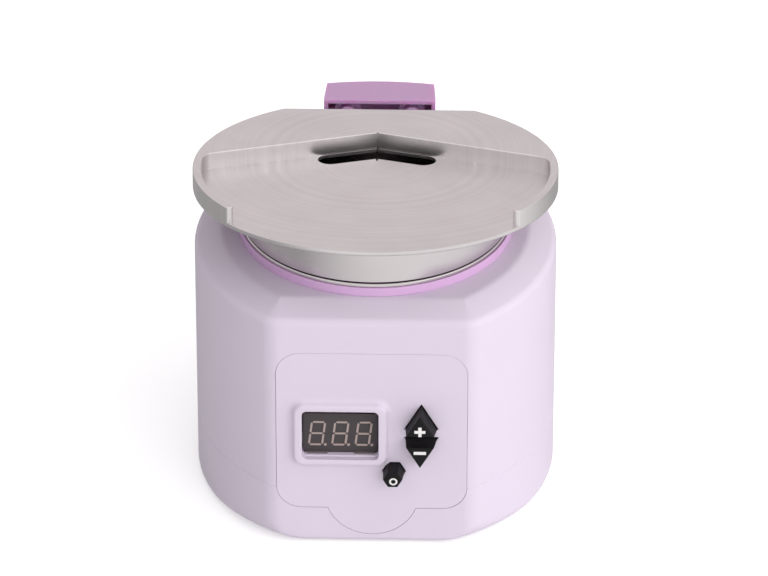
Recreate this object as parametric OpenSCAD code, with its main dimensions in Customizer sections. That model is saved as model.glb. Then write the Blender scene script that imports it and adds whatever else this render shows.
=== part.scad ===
// Dental laboratory wax heater: a lavender moulded body with a heated well, a steel wax pot that
// stands in the well, and a tipped steel hot plate that lifts off the pot.
// Millimetres, +Z up, +X to the user's right, the front faces -Y. The origin is on the table,
// under the middle of the body.

/* [Body] */
// Half of the width across the curved sides
body_half_w = 54.9; // [53:0.1:58]
// Distance from the middle to the flat front, and to the flat back
body_half_d = 50.2; // [49.5:0.1:54]
// Radius of each curved side
side_r = 63.4; // [61:0.1:68]
// Rounding of the four upright edges
edge_r = 8; // [4:0.5:10]
// Wall of the moulded shells
wall = 2.5; // [2:0.1:3]
// Height of the joint line between tray and housing
seam_z = 19.5; // [18.5:0.1:20]
// Height of the crease where the shoulder starts
crease_z = 77.9; // [77:0.1:80]
// Height of the flat top of the housing
top_z = 81.8; // [81:0.1:84]
// How far the shoulder slopes inwards
shoulder_in = 8.2; // [6:0.1:8.5]
// Radius of the foot of the body on the table
base_r = 53.4; // [52:0.1:56]
// Radius that the foot swells to at the joint line
base_swell_r = 61; // [60:0.1:64]
// Rubber that stands out under the tray
foot_out = 0.8; // [0.5:0.1:2]
// Radius of a rubber foot
foot_r = 5.5; // [4:0.1:7]
// Depth of the pocket that holds a foot
foot_pocket = 1.2; // [0.8:0.1:1.5]

/* [Front panel] */
// Half of the width of the flush panel
panel_half_w = 28.7; // [28.4:0.1:29.5]
// Lower edge of the flush panel
panel_z0 = 12.1; // [11.5:0.1:14]
// Upper edge of the flush panel
panel_z1 = 67; // [65:0.1:69]
// Corner radius of the panel
panel_r = 7.5; // [5:0.1:9]
// Thickness of the panel
panel_t = 2; // [1.6:0.1:2.2]
// Groove round the panel
panel_gap = 0.3; // [0.2:0.05:0.5]
// Radius of the round tongue under the panel
tongue_r = 14; // [13:0.1:15]
// Lowest point of the tongue
tongue_z = 2.6; // [2.5:0.1:5]

/* [Display] */
// Middle of the display, measured to the left of the centre line
display_x = -9.45; // [-10.5:0.05:-9]
// Middle of the display above the underside of the tray
display_z = 37.8; // [37:0.1:39]
// Width of the display module
display_w = 22.5; // [21:0.1:23]
// Height of the display module
display_h = 14; // [13:0.1:15]
// Thickness of the display module
display_t = 7; // [6:0.1:7.4]
// Width of the raised frame
frame_w = 28; // [27.5:0.1:29]
// Height of the raised frame
frame_h = 21.4; // [20:0.1:22]
// Middle of the raised frame over the middle of the display
frame_up = 1.2; // [0.6:0.1:1.6]
// How far the frame stands out
frame_out = 2; // [1:0.1:3]
// Corner radius of the raised frame
frame_r = 3; // [1:0.1:4]
// Height of one figure
digit_h = 8.8; // [8:0.1:9.4]
// Width of one figure
digit_w = 4.6; // [4:0.1:5]
// Distance from one figure to the next
digit_pitch = 7.1; // [7:0.1:7.3]
// Slant of the figures in degrees
digit_slant = 9.5; // [6:0.5:12]
// Width of one bar of a figure
segment_w = 0.9; // [0.7:0.05:1]
// Radius of the point at the foot of a figure
point_r = 0.45; // [0.3:0.05:0.5]

/* [Buttons] */
// Place of the two arrow keys to the right of the centre line
arrow_x = 14.9; // [14:0.1:15.5]
// Side of an arrow key
arrow_side = 9.6; // [9:0.1:10.2]
// Base line of the upper arrow key
plus_z = 40.6; // [39.8:0.1:41]
// Base line of the lower arrow key
minus_z = 37.5; // [36:0.1:38]
// Place of the six-sided key to the right of the centre line
mode_x = 6.7; // [6:0.1:7]
// Height of the middle of the six-sided key
mode_z = 25.5; // [24.8:0.1:25.7]
// Six-sided key across its corners
mode_w = 6.6; // [6:0.1:7.2]
// How far a key stands out
key_out = 5.4; // [3:0.1:6.5]
// How far the crown of a key draws in
key_taper = 0.7; // [0.3:0.1:1]
// Travel of a key
key_travel = 0.5; // [0.3:0.05:0.6]
// Play round a key
key_gap = 0.3; // [0.25:0.05:0.4]

/* [Heater] */
// Outer radius of the lilac collar
collar_r = 41.5; // [41.4:0.1:42]
// Height of the collar over the top of the housing
collar_h = 2.8; // [2.4:0.1:3]
// Outer radius of the steel lip of the well
lip_r = 40.9; // [40.4:0.1:40.9]
// Thickness of the lip
lip_t = 1.6; // [1.4:0.1:2]
// Height of the top of the lip over the top of the housing
lip_rise = 3.9; // [3.7:0.1:4.2]
// Inner radius of the well
well_r = 36.3; // [35.5:0.1:36.4]
// Wall of the well
well_wall = 1.9; // [1.6:0.1:2]
// Thickness of the floor of the well
well_floor = 5; // [4.6:0.1:6]
// Depth of the well under its lip
well_depth = 25.3; // [24:0.1:26]
// Thickness of the band heater
band_t = 2; // [1.5:0.1:2.1]
// Height of the band heater
band_h = 16; // [12:0.5:17]

/* [Pot] */
// Radius of the part of the pot that shows
pot_r = 40.8; // [40:0.1:41.2]
// Gap between the lip of the well and the shoulder of the pot
pot_shadow_gap = 0.6; // [0.4:0.1:0.8]
// Play of the pot in the well
pot_play = 0.3; // [0.25:0.05:0.5]
// Wall of the lower part of the pot
pot_wall = 2; // [1.5:0.1:3]
// Floor of the pot
pot_floor = 2.5; // [2:0.1:4]
// Inner radius of the seat for the hot plate
seat_r = 38.6; // [38:0.1:38.8]

/* [Hot plate] */
// Radius of the plate
plate_r = 55.2; // [54.6:0.1:56]
// Tip of the plate towards the back in degrees
plate_tip = 8.5; // [7:0.5:10]
// Height of the middle of the underside of the plate
plate_z = 95.5; // [95.3:0.1:98]
// Thickness of the floor of the plate
plate_floor = 1.4; // [1.3:0.1:1.8]
// Depth of the plate's tray
plate_depth = 4.9; // [4:0.1:6]
// Distance from the centre to the straight back edge
chord_y = 46.8; // [45:0.1:48]
// Width of the rim
rim_w = 2.5; // [2:0.1:3]
// Angle between the front and each end of the rim
rim_end_angle = 52.6; // [45:0.1:60]
// Distance from the centre to the point of the V wall
vee_y = 27.5; // [26:0.1:29]
// Slope of each half of the V wall in degrees
vee_angle = 20; // [17:0.5:22]
// Rounding where the V wall meets the rim
vee_fillet = 5; // [3:0.1:6]
// Width of the shallow channel in front of the V wall
channel_w = 10.1; // [9:0.1:11]
// Depth of that channel
channel_t = 0.4; // [0.2:0.05:0.5]
// Width of the drain slot
slot_w = 7.7; // [6.5:0.1:8]
// Ledge between the slot and the V wall
slot_set_back = 0.3; // [0.2:0.05:0.4]
// Reach of the drain slot to each side
slot_reach = 18; // [16:0.1:20]
// Width of the slit on the centre line
slit_w = 0.6; // [0.4:0.1:0.8]
// Wall of the ring that seats the plate in the pot
spigot_wall = 2; // [1.5:0.1:2.4]

/* [Grip] */
// Width of the grip at the plate
grip_w = 34.5; // [32:0.1:36]
// Width of the grip at its outer face
grip_back_w = 32; // [30:0.1:34]
// Free space between the plate and the grip
grip_gap = 6.1; // [5:0.1:7]
// Depth of the grip
grip_d = 16.5; // [14:0.1:18]
// Height of the grip
grip_h = 14; // [12:0.1:15]
// Height of the top of the grip over the rim of the plate
grip_up = 0.5; // [0.3:0.1:1]
// Thickness of the roof, the floor and the sides of the grip
grip_wall = 1.2; // [1:0.1:1.4]
// Distance from the centre line to each spacer of the grip
grip_screw_x = 10; // [8:0.1:12]

/* [Hidden] */
$fn = 96;
cut = 0.5;
flat_gap = 0.3;
fit_gap = 0.05;

lavender = [0.86, 0.81, 0.88];
lilac = [0.80, 0.64, 0.82];
black = [0.07, 0.07, 0.08];
steel = [0.75, 0.73, 0.73];
board_green = [0.10, 0.35, 0.22];
felt_white = [0.88, 0.87, 0.83];

// The side arcs, the flats and the rounded upright edges of the body
side_c = side_r - body_half_w;
edge_y = body_half_d - edge_r;
edge_x = sqrt((side_r - edge_r) ^ 2 - edge_y ^ 2) - side_c;
tangent_y = edge_y * side_r / (side_r - edge_r);

// The front, from the outside in
panel_back = -body_half_d + panel_t;
pad_back = panel_back + 2;
frame_z = display_z + frame_up;
frame_bar = 2.1;
window_depth = 2.6;
window_ledge = 0.6;
pad_side = 2;
bar_t = 0.15;
bar_gap = 0.35;
point_x = digit_w / 2 + 0.15;
display_face = -body_half_d - frame_out + 3.6;
board_face = display_face + display_t;
board_t = 1.6;
board_half_w = 27.6;
board_z0 = 20;
board_z1 = 54.4;
post_x = 24.7;
post_z = [23.6, 50.6];
post_r = 2.8;
screw_r = 1.2;
window_half_w = 21.6;
switch_w = 6;
switch_t = 3.4;
plunger_t = 0.8;
plunger_r = 1.7;
key_flange = 0.9;
key_flange_t = 1;
crown_t = 1;
rest_gap = 0.1;
arrow_h = arrow_side * sqrt(3) / 2;
window_z1 = plus_z + arrow_h + key_flange + key_gap + 0.5;
plus_mid = plus_z + arrow_h / 3;
minus_mid = minus_z - arrow_h / 3;

// The joint between tray and housing
boss_x = 40;
boss_y = 26;
boss_r = 4;
boss_top = 33;
web_t = 2;
web_len = sqrt((side_r - wall) ^ 2 - boss_y ^ 2) - side_c + 0.8 - boss_x;
house_screw_r = 1.5;
house_bite = 9;
head_r = 2.8;
head_t = 2.2;
head_pocket = 9;
small_head_r = 2.2;
small_head_t = 1.4;
small_bite = 4;
pilot = 5;
foot_edge = 0.5;
foot_x = 29;
foot_y = 34;

// The heater, from the top down
lip_top = top_z + lip_rise;
lip_low = lip_top - lip_t;
well_out_r = well_r + well_wall;
well_seat = lip_top - well_depth;
well_under = well_seat - well_floor;
collar_in_r = well_out_r + flat_gap;
collar_spigot_r = collar_r - 1.6;
collar_low = top_z - wall - 1.4;
collar_edge = 0.25;
lip_fit = 0.1;
lip_edge = 0.5;
band_r = well_out_r;
band_low = collar_low - 0.6 - band_h;
sleeve_r = 42;
ear_w = 9;
ear_h = 8;
ear_y = 0.6;
ear_d = 6;
band_gap = 4.4;
clamp_y = band_r + 4.2;
clamp_head_r = 2;
insulator_t = 3.2;
insulator_top = well_under;
insulator_low = insulator_top - insulator_t;
sensor_r = 1.5;
sensor_z = well_under + well_floor / 2;
sensor_in = 18;
cutout_r = 8;
cutout_h = 8;
cutout_y = -12;
cutout_screw_x = 11.5;
cutout_tab_t = 0.8;
cutout_tab_r = 3;
cutout_bite = 4;
cutout_head_t = 1.3;
tab_x = 4;
tab_len = 6;
sensor_out = 3;
column_r = 3.5;
column_top = insulator_low;

// The electrics on the floor of the tray
power_w = 44;
power_d = 30;
power_z = 8;
power_y = 6;
power_screw_x = 19;
power_screw_y = 12;
lead_rise = 10;
lead_start = power_y + power_d / 2 - 0.6;
floor_z = wall;
socket_z = 34;
socket_r = 5.4;
socket_flange_r = 7;
socket_flange_t = 1.6;
socket_len = 13;
nut_w = 15;
nut_t = 2.4;
plug_r = 2.85;
plug_pin_r = 1;
plug_depth = 9;
lug_x = 3;
lug_len = 4;
lug_gap = 0.7;
lead_r = 1.1;
lead_x = 7;
sleeve_gap_x = lead_x + lead_r + flat_gap;
columns = [[0, body_half_d - socket_len - lug_len - lug_gap - column_r], [-27, -8], [27, -8]];

// The pot
pot_low_r = well_r - pot_play;
pot_in_r = pot_low_r - pot_wall;
pot_shoulder = lip_top + pot_shadow_gap;
seat_z = pot_shoulder + 2;
spigot_r = seat_r - pot_play;
spigot_low = seat_z + flat_gap;

// The plate, in its own tipped frame: z = 0 is its underside
plate_top = plate_floor + plate_depth;
pocket_r = plate_r - rim_w;
rim_mid_r = plate_r - rim_w / 2;
far = 2 * plate_r;
vee_drop = far * tan(vee_angle);
fillet_a = 1 + tan(vee_angle) ^ 2;
fillet_h = vee_y - vee_fillet / cos(vee_angle);
fillet_reach = pocket_r - vee_fillet;
fillet_root = sqrt((fillet_h * tan(vee_angle)) ^ 2 - fillet_a * (fillet_h ^ 2 - fillet_reach ^ 2));
fillet_x = (fillet_h * tan(vee_angle) + fillet_root) / fillet_a;
fillet_y = fillet_h - fillet_x * tan(vee_angle);
slot_mid_y = vee_y - (slot_w / 2 + slot_set_back) / cos(vee_angle);
slot_end_x = slot_reach - slot_w / 2;
slot_end_y = slot_mid_y - slot_end_x * tan(vee_angle);
spacer_r = 1.8;
spacer_z = 1.85;
grip_screw_r = 1.1;
grip_hole = 6;
slit_y0 = slot_mid_y - slot_w / 2 / cos(vee_angle) - 2.4;
slit_y1 = vee_y + 0.8;
spigot_h = plate_z - spigot_low + plate_r * tan(plate_tip);
lap = 0.2;
grip_y0 = chord_y + grip_gap;
grip_y1 = grip_y0 + grip_d;
grip_top = plate_top + grip_up;
grip_low = grip_top - grip_h;
grip_back_wall = 2.5;
grip_chamfer = 0.4;
grip_bevel = 3;
grip_seat = 6;
grip_head_r = 2.2;
grip_head_t = 1.8;
grip_bore_r = 2.6;
grip_boss_r = 4.1;

// Everything but the feet is drawn from the underside of the tray
module raised() {
    translate([0, 0, foot_out]) children();
}

module at_four(x, y) {
    for (i = [-1, 1]) {
        for (j = [-1, 1]) {
            translate([i * x, j * y, 0]) children();
        }
    }
}

// A cylinder that lies along Y, from y = 0 to y = len
module lying(r, len) {
    rotate([-90, 0, 0]) cylinder(r = r, h = len);
}

// A drawing on the front: x to the right, y up, thickness towards the back
module on_front(y, t) {
    translate([0, y + t, 0]) rotate([90, 0, 0]) linear_extrude(t) children();
}

module round_rect(w, h, r) {
    union() {
        square([w - 2 * r, h], center = true);
        square([w, h - 2 * r], center = true);
        for (i = [-1, 1]) {
            for (j = [-1, 1]) {
                translate([i * (w / 2 - r), j * (h / 2 - r)]) circle(r);
            }
        }
    }
}

// Plan of the body, drawn in by a margin
module plan(inset) {
    intersection() {
        translate([side_c, 0]) circle(side_r - inset, $fn = 180);
        translate([-side_c, 0]) circle(side_r - inset, $fn = 180);
        union() {
            square([2 * edge_x, 2 * (body_half_d - inset)], center = true);
            square([4 * body_half_w, 2 * tangent_y * (1 - inset / side_r)], center = true);
            for (i = [-1, 1]) {
                for (j = [-1, 1]) {
                    translate([i * edge_x, j * edge_y]) circle(edge_r - inset);
                }
            }
        }
    }
}

// A cone that slopes in over the shoulder, on the axis of one curved side
module side_cone(inset) {
    rotate_extrude($fn = 180) polygon([
        [0, 0],
        [side_r - inset, 0],
        [side_r - inset, crease_z - inset],
        [side_r - inset - shoulder_in, top_z - inset],
        [0, top_z - inset]
    ]);
}

// The whole outer form of the body, drawn in by a margin, with its sloping shoulder
module body_form(inset, z0, z1) {
    depth = body_half_d - inset;
    intersection() {
        translate([0, 0, z0]) linear_extrude(z1 - z0) plan(inset);
        translate([side_c, 0, 0]) side_cone(inset);
        translate([-side_c, 0, 0]) side_cone(inset);
        translate([-body_half_w - 1, 0, 0]) rotate([90, 0, 90]) linear_extrude(2 * body_half_w + 2)
            polygon([
            [-depth, -1],
            [depth, -1],
            [depth, crease_z - inset],
            [depth - shoulder_in, top_z - inset],
            [-depth + shoulder_in, top_z - inset],
            [-depth, crease_z - inset]
        ]);
    }
}

// The turned form that draws the foot of the body in
module base_turn(inset) {
    n = 12;
    rise = base_swell_r - base_r;
    rotate_extrude($fn = 180) polygon(concat(
        [[0, 0]],
        [for (i = [0:n]) [base_r - inset + rise * sin(90 * i / n), seam_z * (1 - cos(90 * i / n))]],
        [[base_swell_r - inset, 2 * seam_z], [0, 2 * seam_z]]
    ));
}

// Outline of the panel and its round tongue, grown by a margin
module panel_outline(grow) {
    mid = (panel_z0 + panel_z1) / 2;
    translate([0, mid])
        round_rect(2 * (panel_half_w + grow), panel_z1 - panel_z0 + 2 * grow, panel_r + grow);
    translate([0, tongue_z + tongue_r]) circle(tongue_r + grow);
}

module front_pocket() {
    on_front(-body_half_d - 5, 5 + panel_t) panel_outline(panel_gap);
}

// Thick pad behind the panel, inside the front wall
module front_pad(z0, z1) {
    w = 2 * (panel_half_w + pad_side);
    translate([-w / 2, -body_half_d + 1, z0]) cube([w, pad_back + body_half_d - 1, z1 - z0]);
}

module upper_housing() {
    raised() color(lavender) difference() {
        union() {
            difference() {
                body_form(0, seam_z, top_z + 1);
                difference() {
                    body_form(wall, seam_z - cut, top_z + 1);
                    front_pad(seam_z - 1, panel_z1 + 2);
                }
            }
            for (i = [-1, 1]) {
                for (z = post_z) {
                    translate([i * post_x, pad_back - cut, z]) lying(post_r, board_face - pad_back + cut);
                }
            }
            at_four(boss_x, boss_y) translate([0, 0, seam_z]) cylinder(r = boss_r, h = boss_top - seam_z);
            for (i = [-1, 1]) {
                for (j = [-1, 1]) {
                    translate([i > 0 ? boss_x : -boss_x - web_len, j * boss_y - web_t / 2, seam_z])
                        cube([web_len, web_t, boss_top - seam_z]);
                }
            }
        }
        front_pocket();
        translate([-window_half_w, -body_half_d - 1, seam_z - 1])
            cube([2 * window_half_w, pad_back + body_half_d + 2, window_z1 - seam_z + 1]);
        for (i = [-1, 1]) {
            for (z = post_z) {
                translate([i * post_x, board_face - pilot, z]) lying(screw_r + fit_gap, pilot + 1);
            }
        }
        at_four(boss_x, boss_y) translate([0, 0, seam_z - 1])
            cylinder(r = house_screw_r + fit_gap, h = house_bite + 2);
        translate([0, 0, top_z - wall - 1]) cylinder(r = collar_spigot_r + flat_gap, h = wall + 3);
        translate([0, body_half_d - wall - 1, socket_z]) lying(socket_r + 0.2, wall + 2);
    }
}

module base_tray() {
    raised() color(lavender) difference() {
        union() {
            difference() {
                intersection() {
                    body_form(0, 0, seam_z);
                    base_turn(0);
                }
                difference() {
                    intersection() {
                        body_form(wall, floor_z, seam_z + 1);
                        base_turn(wall);
                    }
                    front_pad(0, seam_z + 2);
                }
            }
            at_four(boss_x, boss_y) cylinder(r = boss_r + 0.6, h = seam_z);
            for (c = columns) {
                translate([c[0], c[1], 1]) cylinder(r = column_r, h = column_top - 1);
            }
            at_four(power_screw_x, power_screw_y) translate([0, power_y, 1])
                cylinder(r = post_r, h = power_z - 1);
        }
        front_pocket();
        at_four(boss_x, boss_y) {
            translate([0, 0, -1]) cylinder(r = head_r + 0.4, h = head_pocket + 1);
            cylinder(r = house_screw_r + 0.2, h = seam_z + 1);
        }
        at_four(foot_x, foot_y) translate([0, 0, -1]) cylinder(r = foot_r + 0.1, h = 1 + foot_pocket);
        at_four(power_screw_x, power_screw_y) translate([0, power_y, power_z - pilot])
            cylinder(r = screw_r + fit_gap, h = pilot + 1);
    }
}

module rubber_feet() {
    color(black) at_four(foot_x, foot_y) union() {
        cylinder(r1 = foot_r - foot_edge, r2 = foot_r, h = foot_edge);
        translate([0, 0, foot_edge]) cylinder(r = foot_r, h = foot_out + foot_pocket - foot_edge);
    }
}

// A screw that points up, its head underneath
module screw(r, len, hr, ht) {
    difference() {
        union() {
            cylinder(r = hr, h = ht);
            cylinder(r = r, h = ht + len);
        }
        translate([0, 0, -1]) cylinder(r = hr * 0.5, h = 1 + ht * 0.55, $fn = 6);
    }
}

module housing_screws() {
    raised() color(steel) at_four(boss_x, boss_y)
        translate([0, 0, head_pocket - head_t])
            screw(house_screw_r, seam_z - head_pocket + house_bite, head_r, head_t);
}

// Plan of an arrow key, its middle at the origin
module arrow(grow) {
    rotate(90) circle(r = arrow_side / sqrt(3) + 2 * grow, $fn = 3);
}

module mode_plan(grow) {
    circle(r = mode_w / 2 + grow * 1.155, $fn = 6);
}

module front_panel() {
    raised() color(lavender) difference() {
        union() {
            on_front(-body_half_d, panel_t) panel_outline(0);
            on_front(-body_half_d - frame_out, frame_out + 1)
                translate([display_x, frame_z]) round_rect(frame_w, frame_h, frame_r);
        }
        on_front(-body_half_d - frame_out - 1, frame_out + panel_t + 2)
            translate([display_x, display_z])
                round_rect(display_w + 2 * flat_gap, display_h + 2 * flat_gap, 0.8);
        on_front(-body_half_d - frame_out - 1, 1 + window_depth)
            translate([display_x, frame_z])
                round_rect(display_w + 2 * window_ledge, frame_h - 2 * frame_bar, 1.6);
        on_front(-body_half_d - 1, panel_t + 2) {
            translate([arrow_x, plus_mid]) arrow(key_gap);
            translate([arrow_x, minus_mid]) mirror([0, 1]) arrow(key_gap);
            translate([mode_x, mode_z]) mode_plan(key_gap);
        }
    }
}

module display_module() {
    raised() color([0.55, 0.52, 0.50])
        translate([display_x - display_w / 2, display_face, display_z - display_h / 2])
        cube([display_w, display_t, display_h]);
}

// One bar of a figure, lying along x
module bar(len) {
    polygon([
        [-len / 2, 0],
        [-len / 2 + segment_w / 2, segment_w / 2],
        [len / 2 - segment_w / 2, segment_w / 2],
        [len / 2, 0],
        [len / 2 - segment_w / 2, -segment_w / 2],
        [-len / 2 + segment_w / 2, -segment_w / 2]
    ]);
}

// All seven bars of a figure, and its point
module figure_eight() {
    half = (digit_h - segment_w) / 2;
    side = (digit_w - segment_w) / 2;
    for (k = [-1, 0, 1]) {
        translate([k * half * tan(digit_slant), k * half]) bar(digit_w - segment_w - bar_gap);
    }
    for (i = [-1, 1]) {
        for (k = [-0.5, 0.5]) {
            translate([i * side + k * half * tan(digit_slant), k * half]) rotate(90 - digit_slant)
                bar(half - bar_gap);
        }
    }
    translate([point_x, point_r - digit_h / 2]) circle(point_r, $fn = 24);
}

module display_segments() {
    raised() color([0.88, 0.86, 0.82]) on_front(display_face - bar_t, bar_t)
        for (i = [-1, 0, 1]) {
            translate([display_x + i * digit_pitch, display_z]) figure_eight();
        }
}

// A key: a straight skirt, a crown that draws in, a flange behind the panel and a short stem
module key(size) {
    skirt = key_out + panel_t - crown_t;
    on_front(panel_back - skirt, skirt) children();
    on_front(panel_back - skirt - crown_t, crown_t) scale((size - key_taper) / size) children();
    on_front(panel_back, key_flange_t) scale((size + key_flange + key_gap) / size) children();
    stem = board_face - switch_t - plunger_t - key_travel - rest_gap - panel_back - key_flange_t;
    translate([0, panel_back + key_flange_t, 0]) lying(plunger_r, stem);
}

module plus_button() {
    raised() color(black) translate([arrow_x, 0, plus_mid]) key(arrow_side / sqrt(3)) arrow(0);
}

module minus_button() {
    raised() color(black) translate([arrow_x, 0, minus_mid]) key(arrow_side / sqrt(3))
        mirror([0, 1]) arrow(0);
}

module mode_button() {
    raised() color(black) translate([mode_x, 0, mode_z]) key(mode_w / 2) mode_plan(0);
}

module tact_switches() {
    raised() color([0.2, 0.2, 0.22])
        for (p = [[arrow_x, plus_mid], [arrow_x, minus_mid], [mode_x, mode_z]]) {
            translate([p[0], board_face - switch_t, p[1]]) union() {
                translate([-switch_w / 2, 0, -switch_w / 2]) cube([switch_w, switch_t, switch_w]);
                translate([0, -plunger_t, 0]) lying(plunger_r, plunger_t + 1);
            }
        }
}

module control_board() {
    raised() color(board_green) difference() {
        translate([-board_half_w, board_face, board_z0])
            cube([2 * board_half_w, board_t, board_z1 - board_z0]);
        for (i = [-1, 1]) {
            for (z = post_z) {
                translate([i * post_x, board_face - 1, z]) lying(screw_r + 0.2, board_t + 2);
            }
        }
    }
}

module board_screws() {
    raised() color(steel)
        for (i = [-1, 1]) {
            for (z = post_z) {
                translate([i * post_x, board_face + board_t + small_head_t, z]) rotate([90, 0, 0])
                    screw(screw_r, board_t + small_bite, small_head_r, small_head_t);
            }
        }
}

module collar_ring() {
    raised() color(lilac) rotate_extrude($fn = 180) polygon([
        [collar_in_r, collar_low],
        [collar_spigot_r, collar_low],
        [collar_spigot_r, top_z],
        [collar_r, top_z],
        [collar_r, top_z + collar_h - collar_edge],
        [collar_r - collar_edge, top_z + collar_h],
        [lip_r + lip_fit, top_z + collar_h],
        [lip_r + lip_fit, lip_low],
        [collar_in_r, lip_low]
    ]);
}

module heater_well() {
    raised() color(steel) difference() {
        rotate_extrude($fn = 180) polygon([
            [0, well_under],
            [well_out_r, well_under],
            [well_out_r, lip_low],
            [lip_r, lip_low],
            [lip_r, lip_top - lip_edge],
            [lip_r - lip_edge, lip_top],
            [well_r, lip_top],
            [well_r, well_seat],
            [0, well_seat]
        ]);
        translate([0, sensor_in - 0.5, sensor_z]) lying(sensor_r + fit_gap, well_out_r);
        for (i = [-1, 1]) {
            translate([i * cutout_screw_x, cutout_y, well_under - 1])
                cylinder(r = screw_r + fit_gap, h = cutout_bite + 0.4);
        }
    }
}

module band_heater() {
    raised() color([0.62, 0.58, 0.52]) translate([0, 0, band_low]) difference() {
        union() {
            cylinder(r = band_r + band_t, h = band_h);
            translate([-ear_w / 2, band_r + ear_y, (band_h - ear_h) / 2]) cube([ear_w, ear_d, ear_h]);
        }
        translate([0, 0, -1]) cylinder(r = band_r, h = band_h + 2);
        translate([-band_gap / 2, 0, -1]) cube([band_gap, 2 * band_r, band_h + 2]);
        translate([-ear_w, clamp_y, band_h / 2]) rotate([0, 90, 0])
            cylinder(r = screw_r + fit_gap, h = 2 * ear_w);
    }
}

module clamp_screw() {
    raised() color(steel) translate([-ear_w / 2 - small_head_t, clamp_y, band_low + band_h / 2])
        rotate([0, 90, 0]) screw(screw_r, ear_w + 0.5, clamp_head_r, small_head_t);
}

module insulation_sleeve() {
    raised() color(felt_white) translate([0, 0, band_low]) difference() {
        cylinder(r = sleeve_r, h = band_h);
        translate([0, 0, -1]) cylinder(r = band_r + band_t, h = band_h + 2);
        translate([-sleeve_gap_x, 0, -1]) cube([2 * sleeve_gap_x, 2 * band_r, band_h + 2]);
    }
}

module well_insulator() {
    raised() color(felt_white) translate([0, 0, insulator_low]) difference() {
        cylinder(r = well_out_r, h = insulator_t);
        translate([-cutout_screw_x - cutout_tab_r - cut, cutout_y - cutout_r - flat_gap, -1])
            cube([2 * (cutout_screw_x + cutout_tab_r + cut), 2 * (cutout_r + flat_gap), insulator_t + 2]);
    }
}

module temperature_sensor() {
    raised() color(steel) union() {
        translate([0, sensor_in, sensor_z]) lying(sensor_r, well_out_r - sensor_in + sensor_out);
        translate([0, well_out_r + sensor_out, sensor_z]) lying(sensor_r - 0.5, sensor_out);
    }
}

module thermal_cutout() {
    raised() color([0.75, 0.70, 0.60]) difference() {
        union() {
            translate([0, cutout_y, well_under - cutout_h]) cylinder(r = cutout_r, h = cutout_h);
            translate([-cutout_screw_x - cutout_tab_r, cutout_y - cutout_tab_r, well_under - cutout_tab_t])
                cube([2 * (cutout_screw_x + cutout_tab_r), 2 * cutout_tab_r, cutout_tab_t]);
            for (i = [-1, 1]) {
                translate([i * tab_x, cutout_y, well_under - cutout_h - tab_len])
                    translate([-cutout_tab_t / 2, -cutout_tab_r, 0])
                    cube([cutout_tab_t, 2 * cutout_tab_r, tab_len + 1]);
            }
        }
        for (i = [-1, 1]) {
            translate([i * cutout_screw_x, cutout_y, well_under - 2]) cylinder(r = screw_r + 0.2, h = 3);
        }
    }
}

module cutout_screws() {
    raised() color(steel)
        for (i = [-1, 1]) {
            translate([i * cutout_screw_x, cutout_y, well_under - cutout_tab_t - cutout_head_t])
                screw(screw_r, cutout_bite, clamp_head_r, cutout_head_t);
        }
}

module power_board() {
    raised() color(board_green) union() {
        difference() {
            translate([-power_w / 2, power_y - power_d / 2, power_z]) cube([power_w, power_d, board_t]);
            at_four(power_screw_x, power_screw_y) translate([0, power_y, power_z - 1])
                cylinder(r = screw_r + 0.2, h = board_t + 2);
        }
        translate([-14, power_y - 9, power_z + 1]) cube([15, 18, 15]);
        translate([9, power_y - 3, power_z + 1]) cylinder(r = 5, h = 14);
        translate([-7, power_y + 9.4, power_z + 1]) cube([14, 5, 9]);
    }
}

module power_board_screws() {
    raised() color(steel) at_four(power_screw_x, power_screw_y)
        translate([0, power_y, power_z + board_t + small_head_t]) rotate([180, 0, 0])
            screw(screw_r, board_t + small_bite, small_head_r, small_head_t);
}

module dc_socket() {
    raised() color(black) translate([0, body_half_d, socket_z]) difference() {
        union() {
            lying(socket_flange_r, socket_flange_t);
            translate([0, -socket_len, 0]) lying(socket_r, socket_len + 1);
            for (i = [-1, 1]) {
                translate([i * lug_x - 0.5, -socket_len - lug_len, -1.5]) cube([1, lug_len + 1, 3]);
            }
        }
        translate([0, -plug_depth, 0]) difference() {
            lying(plug_r, plug_depth + socket_flange_t + 1);
            lying(plug_pin_r, plug_depth - 0.6);
        }
    }
}

module socket_nut() {
    raised() color(steel) translate([0, body_half_d - wall - nut_t, socket_z]) difference() {
        rotate([-90, 0, 0]) cylinder(r = nut_w / 2, h = nut_t, $fn = 6);
        translate([0, -1, 0]) lying(socket_r + fit_gap, nut_t + 2);
    }
}

// Two insulated wires from the power board up to the ears of the band heater
module heater_leads() {
    low = power_z + lead_rise;
    high = band_low + band_h / 2;
    y = band_r + band_t + lead_r + flat_gap;
    raised() color([0.65, 0.12, 0.12])
        for (i = [-1, 1]) {
            union() {
                translate([i * lead_x, y, low]) cylinder(r = lead_r, h = high - low);
                translate([i * lead_x, y, low]) sphere(lead_r);
                translate([i * lead_x, lead_start, low]) lying(lead_r, y - lead_start);
            }
        }
}

module plate_frame() {
    translate([0, 0, plate_z]) rotate([-plate_tip, 0, 0]) children();
}

// The space over the underside of the plate, which cuts the drum of the pot at a slant
module over_plate_plane() {
    plate_frame() translate([-far, -far, 0]) cube([2 * far, 2 * far, far]);
}

module wax_pot() {
    raised() color(steel) difference() {
        rotate_extrude($fn = 180) polygon([
            [0, well_seat],
            [pot_low_r - 1, well_seat],
            [pot_low_r, well_seat + 1],
            [pot_low_r, pot_shoulder],
            [pot_r - 0.4, pot_shoulder],
            [pot_r, pot_shoulder + 0.4],
            [pot_r, plate_z + 20],
            [seat_r, plate_z + 20],
            [seat_r, seat_z],
            [pot_in_r, seat_z],
            [pot_in_r, well_seat + pot_floor + 2],
            [pot_in_r - 2, well_seat + pot_floor],
            [0, well_seat + pot_floor]
        ]);
        over_plate_plane();
    }
}

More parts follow.
